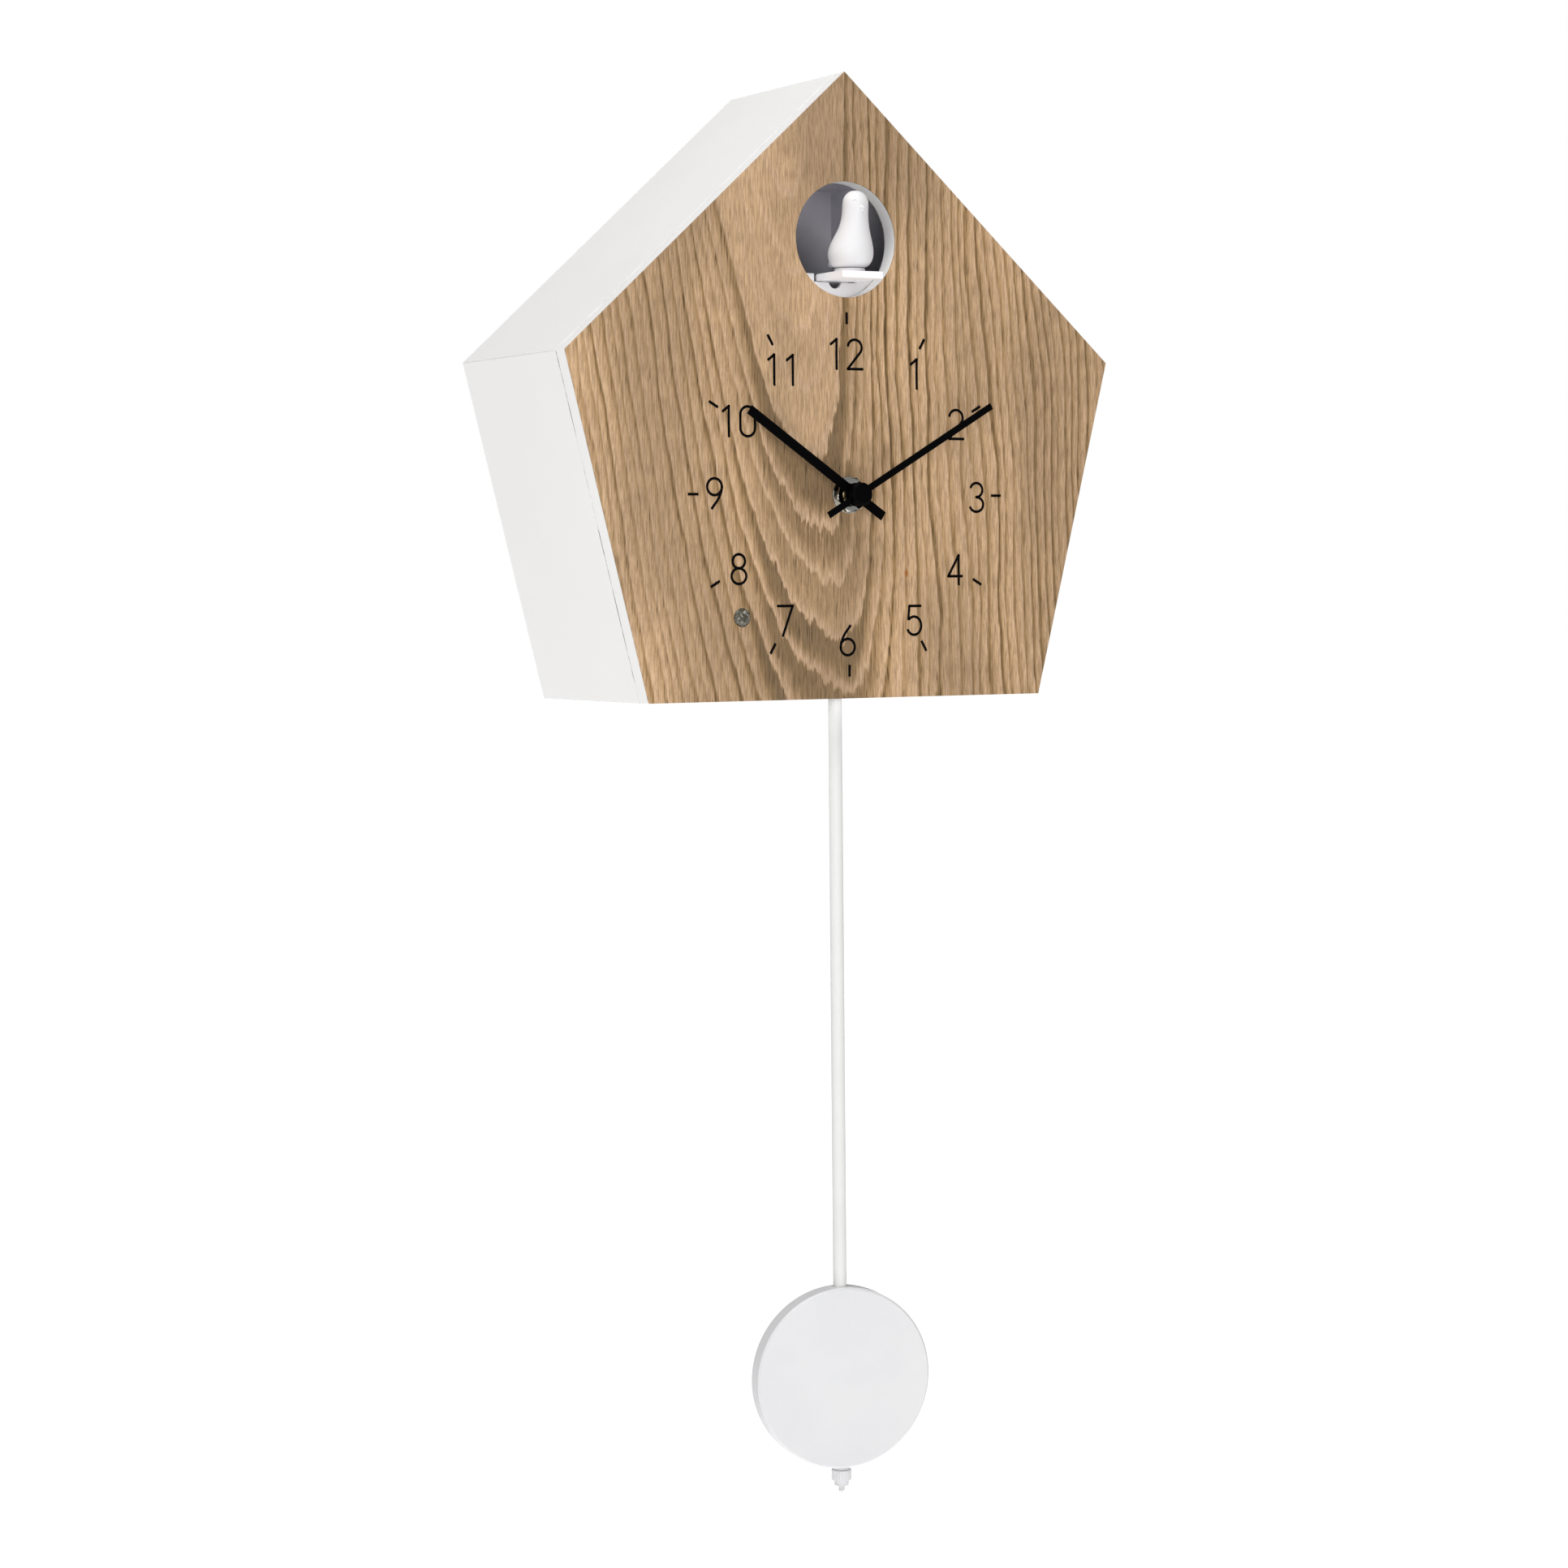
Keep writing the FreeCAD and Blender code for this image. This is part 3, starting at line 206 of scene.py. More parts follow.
veneer = {
    "light": seen(214, 178, 140), "ochre": seen(168, 133, 88), "dark": seen(92, 69, 38), "cool": seen(114, 95, 73),
    "pore": seen(66, 48, 26), "blush": seen(213, 179, 147), "knot": seen(146, 82, 28),
    # the boat-shaped figure: where its middle line is, how it leans, how fast the cut goes deeper
    "heart": -0.0285, "lean": 0.081, "depth": 0.020, "spread": 0.152, "ring": 0.0036,
    "knotPlace": (0.026, -0.149), "knotSize": 0.0012,
}


def veneerMaterial():
    mat = newMaterial("woodVeneer")
    shader = shaderOf(mat)
    flat = objectSpace(mat)
    parts = add(mat, "SeparateXYZ")
    join(mat, flat, parts.inputs[0])
    x, z = parts.outputs["X"], parts.outputs["Z"]
    wide = noise(mat, objectSpace(mat, scale=(1, 1, 0.4), place=(0.3, 0, 0.1)), 20.0, 1.0, 0.4)
    small = noise(mat, objectSpace(mat, scale=(1, 1, 0.22), place=(0.7, 0, 0.4)), 90.0, 2.0, 0.5)
    jagged = noise(mat, objectSpace(mat, scale=(1, 1, 0.12), place=(0.2, 0, 0.6)), 420.0, 3.0, 0.65)
    wave = calc(mat, "MULTIPLY", calc(mat, "SUBTRACT", wide, 0.5), 0.014)
    ripple = calc(mat, "MULTIPLY", calc(mat, "SUBTRACT", small, 0.5), 0.0040)
    ragged = calc(mat, "MULTIPLY", calc(mat, "SUBTRACT", jagged, 0.5), 0.0026)
    across = calc(mat, "SUBTRACT", x, veneer["heart"])
    across = calc(mat, "ADD", across, calc(mat, "MULTIPLY", z, veneer["lean"]))
    across = calc(mat, "ADD", calc(mat, "ADD", across, wave), calc(mat, "ADD", ripple,
                                                                   calc(mat, "MULTIPLY", ragged, 0.35)))
    # the cut runs deeper below the heart line further down, so the rings close in downward arches
    side = calc(mat, "MAXIMUM", calc(mat, "MULTIPLY", across, 14.0), 0.0)
    steep = calc(mat, "SUBTRACT", veneer["spread"], calc(mat, "MULTIPLY", side, 0.075))
    depth = calc(mat, "ADD", veneer["depth"], calc(mat, "MULTIPLY", calc(mat, "MULTIPLY", z, -1.0), steep))
    depth = calc(mat, "ADD", depth, calc(mat, "MULTIPLY", wave, 0.5))
    depth = calc(mat, "MAXIMUM", calc(mat, "ADD", depth, ragged), 0.0)
    radius = calc(mat, "SQRT", calc(mat, "ADD", calc(mat, "MULTIPLY", across, across),
                                    calc(mat, "MULTIPLY", depth, depth)))
    turnsOut = calc(mat, "DIVIDE", radius, veneer["ring"])
    uneven = add(mat, "TexNoise", noise_dimensions="1D")
    uneven.inputs["Scale"].default_value = 0.33
    uneven.inputs["Detail"].default_value = 1.0
    join(mat, turnsOut, uneven.inputs["W"])
    turnsOut = calc(mat, "ADD", turnsOut, calc(mat, "MULTIPLY", uneven.outputs["Fac"], 0.9))
    year = calc(mat, "FRACT", turnsOut)
    ringTone = add(mat, "TexWhiteNoise", noise_dimensions="1D")
    join(mat, calc(mat, "FLOOR", turnsOut), ringTone.inputs["W"])
    tone = calc(mat, "MULTIPLY_ADD", ringTone.outputs["Value"], 0.65, 0.5)
    # early wood is dark, porous and starts sharply, late wood is light; under the heart the bands lie wide
    thinBand = ramp(mat, year, [(0.0, grey(0.0)), (0.13, grey(0.92)), (0.26, grey(0.82)), (0.44, grey(0.38)),
                                (0.62, grey(0.15)), (1.0, grey(0.0))])
    wideBand = ramp(mat, year, [(0.0, grey(0.0)), (0.06, grey(0.9)), (0.5, grey(0.85)), (0.76, grey(0.5)),
                                (0.93, grey(0.0)), (1.0, grey(0.0))])
    away = calc(mat, "ABSOLUTE", across)
    under = add(mat, "MapRange", interpolation_type="SMOOTHSTEP")
    for key, value in (("From Min", 0.012), ("From Max", 0.034), ("To Min", 1.0), ("To Max", 0.0)):
        under.inputs[key].default_value = value
    join(mat, away, under.inputs["Value"])
    centre = under.outputs["Result"]
    band = mixColour(mat, centre, thinBand, wideBand)
    inner = add(mat, "MapRange", interpolation_type="SMOOTHSTEP")
    for key, value in (("From Min", 0.0325), ("From Max", 0.0350), ("To Min", 0.16), ("To Max", 1.0)):
        inner.inputs[key].default_value = value
    join(mat, radius, inner.inputs["Value"])
    band = calc(mat, "MULTIPLY", calc(mat, "MULTIPLY", band, tone), inner.outputs["Result"])
    streaks = noise(mat, objectSpace(mat, scale=(1, 1, 0.03)), 1300.0, 3.0, 0.65)
    fibres = noise(mat, objectSpace(mat, scale=(1, 1, 0.08), place=(0.1, 0, 0)), 1500.0, 4.0, 0.75)
    patch = noise(mat, objectSpace(mat, scale=(1, 1, 0.35), place=(0.5, 0.2, 0)), 16.0, 3.0, 0.55)
    cool = noise(mat, objectSpace(mat, scale=(1, 1, 0.4), place=(0.9, 0.1, 0.2)), 24.0, 2.0, 0.5)
    streakMask = ramp(mat, streaks, [(0.36, grey(0.0)), (0.64, grey(1.0))])
    patchMask = ramp(mat, patch, [(0.34, grey(0.55)), (0.62, grey(1.0))])
    bandMix = calc(mat, "MULTIPLY", band, calc(mat, "MULTIPLY_ADD", streakMask, 0.4, 0.66), clamp=True)
    bandMix = calc(mat, "MULTIPLY", calc(mat, "MULTIPLY", bandMix, patchMask), 1.1, clamp=True)
    darkHere = mixColour(mat, centre, veneer["dark"], veneer["cool"])
    lightHere = mixColour(mat, ramp(mat, year, [(0.80, grey(0.0)), (0.95, grey(0.8))]), veneer["light"],
                          veneer["blush"])
    halfWay = calc(mat, "MULTIPLY", bandMix, 1.7, clamp=True)
    colour = mixColour(mat, halfWay, lightHere, mixColour(mat, centre, veneer["ochre"], mixColour(
        mat, 0.4, veneer["ochre"], veneer["cool"])))
    deep = calc(mat, "MULTIPLY_ADD", bandMix, 1.7, -0.7, clamp=True)
    colour = mixColour(mat, deep, colour, darkHere)
    coolMask = ramp(mat, cool, [(0.38, grey(0.0)), (0.6, grey(0.8))])
    veil = calc(mat, "MULTIPLY", calc(mat, "MULTIPLY", centre, inner.outputs["Result"]), 0.34)
    gable = calc(mat, "MULTIPLY", calc(mat, "MULTIPLY_ADD", z, 12.0, 0.45, clamp=True), 0.4)
    coolMask = calc(mat, "ADD", calc(mat, "ADD", coolMask, gable), veil, clamp=True)
    colour = mixColour(mat, coolMask, colour, mixColour(mat, 0.5, colour, veneer["cool"]))
    fibreMask = ramp(mat, fibres, [(0.42, grey(0.0)), (0.58, grey(0.95))])
    colour = mixColour(mat, fibreMask, colour, mixColour(mat, 0.45, colour, veneer["dark"]))
    pores = noise(mat, objectSpace(mat, scale=(1, 1, 0.06), place=(0, 0, 0.3)), 1900.0, 1.0, 0.4)
    poreMask = calc(mat, "MULTIPLY", ramp(mat, pores, [(0.58, grey(0.0)), (0.68, grey(1.0))]),
                    calc(mat, "MULTIPLY_ADD", band, 0.65, 0.2))
    colour = mixColour(mat, poreMask, colour, veneer["pore"])
    knotX = calc(mat, "SUBTRACT", x, veneer["knotPlace"][0])
    knotZ = calc(mat, "MULTIPLY", calc(mat, "SUBTRACT", z, veneer["knotPlace"][1]), 0.6)
    knotAway = calc(mat, "SQRT", calc(mat, "ADD", calc(mat, "MULTIPLY", knotX, knotX),
                                      calc(mat, "MULTIPLY", knotZ, knotZ)))
    knotMask = ramp(mat, calc(mat, "DIVIDE", knotAway, veneer["knotSize"]), [(0.35, grey(0.85)), (1.0, grey(0.0))])
    colour = mixColour(mat, knotMask, colour, veneer["knot"])
    join(mat, colour, shader.inputs["Base Color"])
    join(mat, ramp(mat, streaks, [(0.3, grey(0.66)), (0.7, grey(0.82))]), shader.inputs["Roughness"])
    shader.inputs["Specular IOR Level"].default_value = 0.3
    height = calc(mat, "SUBTRACT", calc(mat, "MULTIPLY", fibres, 0.6), calc(mat, "MULTIPLY", poreMask, 0.8))
    bumpFrom(mat, height, 0.00008, 0.6)
    return mat


def boardMaterial():
    mat = newMaterial("rawBoard")
    shader = shaderOf(mat)
    space = objectSpace(mat)
    chips = add(mat, "TexVoronoi")
    chips.inputs["Scale"].default_value = 700.0
    join(mat, space, chips.inputs["Vector"])
    cloud = noise(mat, space, 30.0, 5.0, 0.6)
    fluff = noise(mat, objectSpace(mat, scale=(1, 1, 0.5)), 1200.0, 4.0, 0.7)
    base = ramp(mat, cloud, [(0.3, seen(150, 118, 84)), (0.7, seen(176, 144, 106))])
    speck = ramp(mat, fluff, [(0.45, grey(0.0)), (0.75, grey(0.6))])
    join(mat, mixColour(mat, speck, base, seen(118, 88, 60)), shader.inputs["Base Color"])
    shader.inputs["Roughness"].default_value = 0.86
    bumpFrom(mat, calc(mat, "ADD", fluff, chips.outputs["Distance"]), 0.0001, 0.5)
    return mat


def pineMaterial():
    mat = newMaterial("pineBlocks")
    shader = shaderOf(mat)
    lines = noise(mat, objectSpace(mat, scale=(1, 0.08, 1)), 420.0, 3.0, 0.6)
    join(mat, ramp(mat, lines, [(0.35, seen(196, 158, 108)), (0.65, seen(222, 190, 142))]),
         shader.inputs["Base Color"])
    shader.inputs["Roughness"].default_value = 0.75
    bumpFrom(mat, lines, 0.0001, 0.6)
    return mat


# white lacquer; in the narrow groove behind the front board a broken dark line of painted shade is laid into the
# colour
lacquer = {"grooveFrom": 0.0, "grooveTo": 0.0006, "shade": seen(96, 78, 62)}


def lacquerMaterial():
    mat = newMaterial("whiteLacquer")
    shader = shaderOf(mat)
    space = objectSpace(mat)
    cloud = noise(mat, space, 9.0, 3.0, 0.5)
    peel = noise(mat, space, 650.0, 2.0, 0.5)
    parts = add(mat, "SeparateXYZ")
    join(mat, space, parts.inputs[0])
    # painted shade: a broken dark band where the gap between the front board and the case lies in shadow
    behind = calc(mat, "SUBTRACT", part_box("side_panel_left")[0][1] + lacquer["grooveFrom"], parts.outputs["Y"])
    grooveShadeMask = calc(mat, "MULTIPLY", calc(mat, "GREATER_THAN", behind, -0.00012),
                    calc(mat, "LESS_THAN", behind, lacquer["grooveTo"]))
    brokenShade = ramp(mat, noise(mat, space, 60.0, 4.0, 0.7), [(0.42, grey(0.15)), (0.58, grey(1.0))])
    base = ramp(mat, cloud, [(0.35, seen(241, 240, 239)), (0.65, seen(245, 244, 243))])
    join(mat, mixColour(mat, calc(mat, "MULTIPLY", grooveShadeMask, brokenShade), base, lacquer["shade"]),
         shader.inputs["Base Color"])
    join(mat, ramp(mat, peel, [(0.3, grey(0.36)), (0.7, grey(0.46))]), shader.inputs["Roughness"])
    shader.inputs["Coat Weight"].default_value = 0.15
    shader.inputs["Coat Roughness"].default_value = 0.3
    bumpFrom(mat, peel, 0.00003, 0.5)
    return mat


# the bird's room: dark plastic walls with painted light and shade; the back and the upper walls are painted lighter,
# as if lit through the hole, and the front and the low walls painted darker
room = {"front": seen(52, 53, 56), "back": seen(212, 210, 217), "from": -0.079, "to": -0.052,
        "low": -0.036, "high": 0.004, "dim": 0.42, "bright": 1.5}


def roomPaintedLightMaterial():
    mat = newMaterial("roomPaintedLight")
    shader = shaderOf(mat)
    space = objectSpace(mat)
    parts = add(mat, "SeparateXYZ")
    join(mat, space, parts.inputs[0])
    # painted light: the walls go from the dark front colour to the light back colour with depth, and the ceiling is
    # painted lighter too
    depth = add(mat, "MapRange")
    depth.inputs["From Min"].default_value = room["from"]
    depth.inputs["From Max"].default_value = room["to"]
    join(mat, parts.outputs["Y"], depth.inputs["Value"])
    cloud = noise(mat, space, 60.0, 3.0, 0.5)
    # painted light and shade: the walls are darker low down and brighter high up
    paintedLightRise = add(mat, "MapRange")
    for key, value in (("From Min", room["low"]), ("From Max", room["high"]), ("To Min", room["dim"]),
                       ("To Max", room["bright"])):
        paintedLightRise.inputs[key].default_value = value
    join(mat, parts.outputs["Z"], paintedLightRise.inputs["Value"])
    paintedLightCeiling = calc(mat, "MULTIPLY_ADD", parts.outputs["Z"], 130.0, 0.35, clamp=True)
    paintedLightShare = calc(mat, "MAXIMUM", depth.outputs["Result"], paintedLightCeiling)
    shade = mixColour(mat, paintedLightShare, room["front"], room["back"])
    paintedLightLift = add(mat, "CombineXYZ")
    for k in range(3):
        join(mat, paintedLightRise.outputs["Result"], paintedLightLift.inputs[k])
    shade = mixColour(mat, 1.0, shade, paintedLightLift.outputs[0], blend="MULTIPLY")
    join(mat, mixColour(mat, calc(mat, "MULTIPLY", cloud, 0.3), shade, seen(110, 110, 116)),
         shader.inputs["Base Color"])
    join(mat, ramp(mat, cloud, [(0.3, grey(0.32)), (0.7, grey(0.44))]), shader.inputs["Roughness"])
    bumpFrom(mat, noise(mat, space, 1200.0, 2.0, 0.5), 0.00003, 0.5)
    return mat


def lensMaterial():
    mat = newMaterial("clearLensPaintedGlints")
    shader = shaderOf(mat)
    cloud = noise(mat, objectSpace(mat), 900.0, 3.0, 0.6)
    # painted highlights: the near-white specks in the lens colour stand in for glints
    join(mat, ramp(mat, cloud, [(0.35, seen(84, 80, 66)), (0.55, seen(136, 131, 115)), (0.66, seen(228, 225, 214))]),
         shader.inputs["Base Color"])
    join(mat, ramp(mat, cloud, [(0.3, grey(0.06)), (0.7, grey(0.14))]), shader.inputs["Roughness"])
    shader.inputs["Transmission Weight"].default_value = 0.55
    shader.inputs["IOR"].default_value = 1.5
    return mat


def circuitMaterial():
    mat = newMaterial("circuitGreen")
    shader = shaderOf(mat)
    tracks = add(mat, "TexBrick")
    tracks.inputs["Scale"].default_value = 420.0
    tracks.inputs["Mortar Size"].default_value = 0.06
    tracks.inputs["Color1"].default_value = seen(28, 88, 52)
    tracks.inputs["Color2"].default_value = seen(34, 98, 60)
    tracks.inputs["Mortar"].default_value = seen(60, 130, 84)
    join(mat, objectSpace(mat, turn=(math.pi / 2, 0, 0)), tracks.inputs["Vector"])
    join(mat, tracks.outputs["Color"], shader.inputs["Base Color"])
    shader.inputs["Roughness"].default_value = 0.35
    bumpFrom(mat, tracks.outputs["Fac"], 0.00003, 0.5)
    return mat


def windingMaterial():
    mat = newMaterial("copperWinding")
    shader = shaderOf(mat)
    wires = add(mat, "TexWave", wave_type="BANDS", bands_direction="Z")
    wires.inputs["Scale"].default_value = 1200.0
    wires.inputs["Distortion"].default_value = 0.4
    join(mat, objectSpace(mat), wires.inputs["Vector"])
    join(mat, ramp(mat, wires.outputs["Fac"], [(0.1, seen(96, 44, 22)), (0.8, seen(196, 112, 62))]),
         shader.inputs["Base Color"])
    shader.inputs["Roughness"].default_value = 0.3
    shader.inputs["Metallic"].default_value = 0.7
    bumpFrom(mat, wires.outputs["Fac"], 0.00008, 0.8)
    return mat


def jacketMaterial():
    mat = newMaterial("cellJacket")
    shader = shaderOf(mat)
    parts = add(mat, "SeparateXYZ")
    join(mat, objectSpace(mat), parts.inputs[0])
    along = calc(mat, "ABSOLUTE", parts.outputs["X"])
    zones = ramp(mat, calc(mat, "MULTIPLY", along, 1 / 0.0256),
                 [(0.0, seen(34, 66, 96)), (0.6, seen(34, 66, 96)), (0.62, seen(206, 208, 206)), (0.93, seen(206, 208, 206)),
                  (0.95, seen(186, 188, 190))], "CONSTANT")
    scuff = noise(mat, objectSpace(mat), 300.0, 4.0, 0.6)
    join(mat, mixColour(mat, ramp(mat, scuff, [(0.5, grey(0.0)), (0.8, grey(0.35))]), zones, seen(150, 156, 160)),
         shader.inputs["Base Color"])
    join(mat, ramp(mat, scuff, [(0.3, grey(0.22)), (0.7, grey(0.38))]), shader.inputs["Roughness"])
    return mat


looks = {
    "white_lacquer": lacquerMaterial(),
    "mdf_board": boardMaterial(),
    "wood_veneer": veneerMaterial(),
    "ink": plainFinish("dialInk", seen(6, 6, 6), seen(2, 2, 3), 0.6, 0.75, 2600.0, 0.00001,
                       Specular_IOR_Level=0.04),
    "pine": pineMaterial(),
    "steel_zinc": plainFinish("zincSteel", seen(188, 190, 194), seen(160, 163, 168), 0.28, 0.42, 900.0, 0.00002,
                              metallic=1.0, patch=160.0),
    "chrome_steel": plainFinish("chromeSteel", seen(196, 194, 188), seen(166, 164, 158), 0.03, 0.08, 700.0, 0.00001,
                                metallic=1.0, patch=120.0),
    "brass_metal": plainFinish("turnedBrass", seen(198, 180, 140), seen(172, 154, 116), 0.2, 0.34, 1200.0, 0.00002,
                               metallic=1.0, patch=200.0),
    "black_metal": plainFinish("blackPaint", seen(4, 4, 5), seen(1, 1, 2), 0.5, 0.62, 1600.0, 0.00002,
                               Specular_IOR_Level=0.03),
    "black_plastic": plainFinish("blackPlastic", seen(36, 36, 38), seen(26, 26, 28), 0.42, 0.6, 1400.0, 0.00004),
    "dark_plastic": roomPaintedLightMaterial(),
    "white_plastic": plainFinish("whitePlastic", seen(246, 244, 246), seen(241, 240, 242), 0.34, 0.46, 900.0,
                                 0.00002, patch=60.0),
    "gear_plastic": plainFinish("gearPlastic", seen(232, 231, 224), seen(220, 219, 210), 0.3, 0.45, 1100.0,
                                0.00002, patch=90.0),
    "white_paint": plainFinish("whitePaint", seen(224, 224, 222), seen(219, 219, 218), 0.38, 0.5, 1300.0, 0.00002,
                               patch=40.0),
    "bob_white": plainFinish("bobWhite", seen(221, 221, 222), seen(216, 216, 218), 0.42, 0.55, 1100.0, 0.00002,
                             patch=30.0),
    "copper_wire": windingMaterial(),
    "circuit": circuitMaterial(),
    "lens_clear": lensMaterial(),
    "magnet_grey": plainFinish("magnetGrey", seen(62, 62, 66), seen(46, 46, 50), 0.45, 0.6, 900.0, 0.00003,
                               metallic=0.6),
    "paper_cone": plainFinish("paperCone", seen(40, 40, 42), seen(28, 28, 30), 0.75, 0.9, 1500.0, 0.00008),
    "cell_jacket": jacketMaterial(),
    "lead_sleeve": plainFinish("leadSleeve", seen(176, 34, 30), seen(150, 26, 24), 0.4, 0.55, 1400.0, 0.00002,
                               patch=400.0),
}

for nodeName, nodeObject in nodes.items():
    nodeObject.data.materials.clear()
    nodeObject.data.materials.append(looks[nodeSlot(nodeName)])


def deselect():
    if bpy.context.object and bpy.context.object.mode != "OBJECT":
        bpy.ops.object.mode_set(mode="OBJECT")
    bpy.ops.object.select_all(action="DESELECT")


def active(obj):
    deselect()
    obj.select_set(True)
    bpy.context.view_layer.objects.active = obj
    return obj


# the place goes into the mesh and the shading follows the edges
def settle(obj, angle=35):
    active(obj)
    bpy.ops.object.transform_apply(location=True, rotation=True, scale=True)
    bpy.ops.object.shade_smooth_by_angle(angle=math.radians(angle))
    return obj


def dress(obj, name, slot, body, *replaced):
    obj.name = name
    obj.data.name = name
    obj.data.materials.clear()
    obj.data.materials.append(looks[slot])
    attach(obj, body)
    if replaced:
        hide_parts(*replaced)
    return obj


# selects, in edit mode, the faces whose middle and normal pass the test
def selectFaces(obj, test):
    bpy.ops.object.mode_set(mode="EDIT")
    bpy.ops.mesh.select_mode(type="FACE")
    bpy.ops.mesh.select_all(action="DESELECT")
    bpy.ops.object.mode_set(mode="OBJECT")
    for face in obj.data.polygons:
        if test(face.center, face.normal):
            face.select = True
    bpy.ops.object.mode_set(mode="EDIT")


def modify(obj, kind, **values):
    active(obj)
    bpy.ops.object.modifier_add(type=kind)
    modifier = obj.modifiers[-1]
    for key, value in values.items():
        setattr(modifier, key, value)
    bpy.ops.object.modifier_apply(modifier=modifier.name)


def tidyNormals(obj):
    active(obj)
    bpy.ops.object.mode_set(mode="EDIT")
    bpy.ops.mesh.select_all(action="SELECT")
    bpy.ops.mesh.remove_doubles(threshold=0.000002)
    bpy.ops.mesh.normals_make_consistent(inside=False)
    bpy.ops.object.mode_set(mode="OBJECT")


def joinAll(objects):
    deselect()
    for obj in objects:
        obj.select_set(True)
    bpy.context.view_layer.objects.active = objects[0]
    if len(objects) > 1:
        bpy.ops.object.join()
    return bpy.context.view_layer.objects.active


def copyOf(obj, offset):
    twin = bpy.data.objects.new(obj.name, obj.data.copy())
    bpy.context.collection.objects.link(twin)
    twin.location = offset
    return twin


turns = {"X": (0, math.pi / 2, 0), "Y": (math.pi / 2, 0, 0), "Z": (0, 0, 0)}


def cylinder(radius, start, end, place, axis="Z", sides=48):
    deselect()
    at = {"X": ((start + end) / 2, place[0], place[1]),
          "Y": (place[0], (start + end) / 2, place[1]),
          "Z": (place[0], place[1], (start + end) / 2)}[axis]
    bpy.ops.mesh.primitive_cylinder_add(vertices=sides, radius=radius, depth=abs(end - start),
                                        location=at, rotation=turns[axis])
    return bpy.context.object


def block(low, high):
    deselect()
    middlePoint = [(a + b) / 2 for a, b in zip(low, high)]
    bpy.ops.mesh.primitive_cube_add(size=1, location=middlePoint)
    obj = bpy.context.object
    obj.scale = [b - a for a, b in zip(low, high)]
    bpy.ops.object.transform_apply(location=True, rotation=True, scale=True)
    return obj


def cutAway(obj, cutter):
    modify(obj, "BOOLEAN", operation="DIFFERENCE", solver="EXACT", object=cutter)
    bpy.data.objects.remove(cutter)


# a wire along points, as a tube
def wireTube(points, radius, sides=2, closed=False):
    data = bpy.data.curves.new("wire", "CURVE")
    data.dimensions = "3D"
    spline = data.splines.new("POLY")
    spline.points.add(len(points) - 1)
    for k, point in enumerate(points):
        spline.points[k].co = (*point, 1)
    spline.use_cyclic_u = closed
    data.bevel_depth = radius
    data.bevel_resolution = sides
    data.use_fill_caps = True
    obj = bpy.data.objects.new("wire", data)
    bpy.context.collection.objects.link(obj)
    active(obj)
    bpy.ops.object.convert(target="MESH")
    return bpy.context.object


# the CAD shapes with softened edges

edgeWidths = {
    "roof_panel_left": 0.35, "roof_panel_right": 0.35, "side_panel_left": 0.35, "side_panel_right": 0.35,
    "bottom_panel": 0.35, "front_board": 0.22, "front_veneer": 0.12, "back_panel": 0.3, "access_cover": 0.35,
    "hour_hand": 0.12, "minute_hand": 0.12, "hand_cap": 0.25, "dial_nut": 0.12, "dial_washer": 0.14,
    "bob": 0.4, "bird_platform": 0.22, "bird_tray": 0.25, "bird_chamber": 0.2, "movement_housing": 0.4,
    "movement_lid": 0.3, "pendulum_drive": 0.4, "battery_holder": 0.35, "rating_nut": 0.18, "bob_bush": 0.2,
    "hanger_plate": 0.15, "pendulum_rod": 0.2, "swing_lever": 0.25, "switch_knob": 0.25, "setting_knob": 0.2,
    "wood_blocks": 0.3, "speaker_frame": 0.2,
}


def softened(node, width):
    source = nodes[node]
    mesh = source.data.copy()
    obj = bpy.data.objects.new(node + "_soft", mesh)
    bpy.context.collection.objects.link(obj)
    obj.matrix_world = source.matrix_world
    active(obj)
    bpy.ops.object.transform_apply(location=True, rotation=True, scale=True)
    bpy.ops.object.mode_set(mode="EDIT")
    bpy.ops.mesh.select_all(action="SELECT")
    bpy.ops.mesh.customdata_custom_splitnormals_clear()
    bpy.ops.mesh.remove_doubles(threshold=0.000002)
    bpy.ops.mesh.dissolve_limited(angle_limit=math.radians(0.4))
    bpy.ops.mesh.normals_make_consistent(inside=False)
    bpy.ops.object.mode_set(mode="OBJECT")
    bpy.ops.object.shade_smooth_by_angle(angle=math.radians(32))
    modify(obj, "BEVEL", width=width * mm, segments=2, limit_method="ANGLE", angle_limit=math.radians(32),
           harden_normals=True, use_clamp_overlap=True)
    return dress(obj, node + "_soft", nodeSlot(node), nodeBody(node), node)


for nodeName, width in edgeWidths.items():
    softened(nodeName, width)

print("stage 2: softened edges")

# bird

bird = {
    # height above the ring, radius, how far forward
    "rows": [(0.0, 4.8, 0.2), (0.7, 6.7, 0.4), (2.2, 8.1, 0.7), (4.4, 8.8, 0.8), (6.8, 8.8, 1.0),
             (9.2, 8.2, 1.5), (11.8, 7.2, 2.3), (14.4, 6.1, 3.3), (17.2, 5.4, 4.0), (20.0, 5.05, 4.4),
             (22.6, 5.05, 4.6), (24.6, 5.05, 4.8), (26.3, 4.7, 4.8), (27.7, 3.8, 4.8), (28.7, 2.6, 4.8),
             (29.2, 1.2, 4.8)],
    "sides": 32, "beakHeight": 22.3, "beakRadius": 1.7, "beakLength": 4.2, "eyeHeight": 24.9,
    "eyeRadius": 0.95, "eyeDepth": 0.3, "voxel": 0.00030,
    "light": seen(221, 220, 221), "dark": seen(216, 215, 217),
}


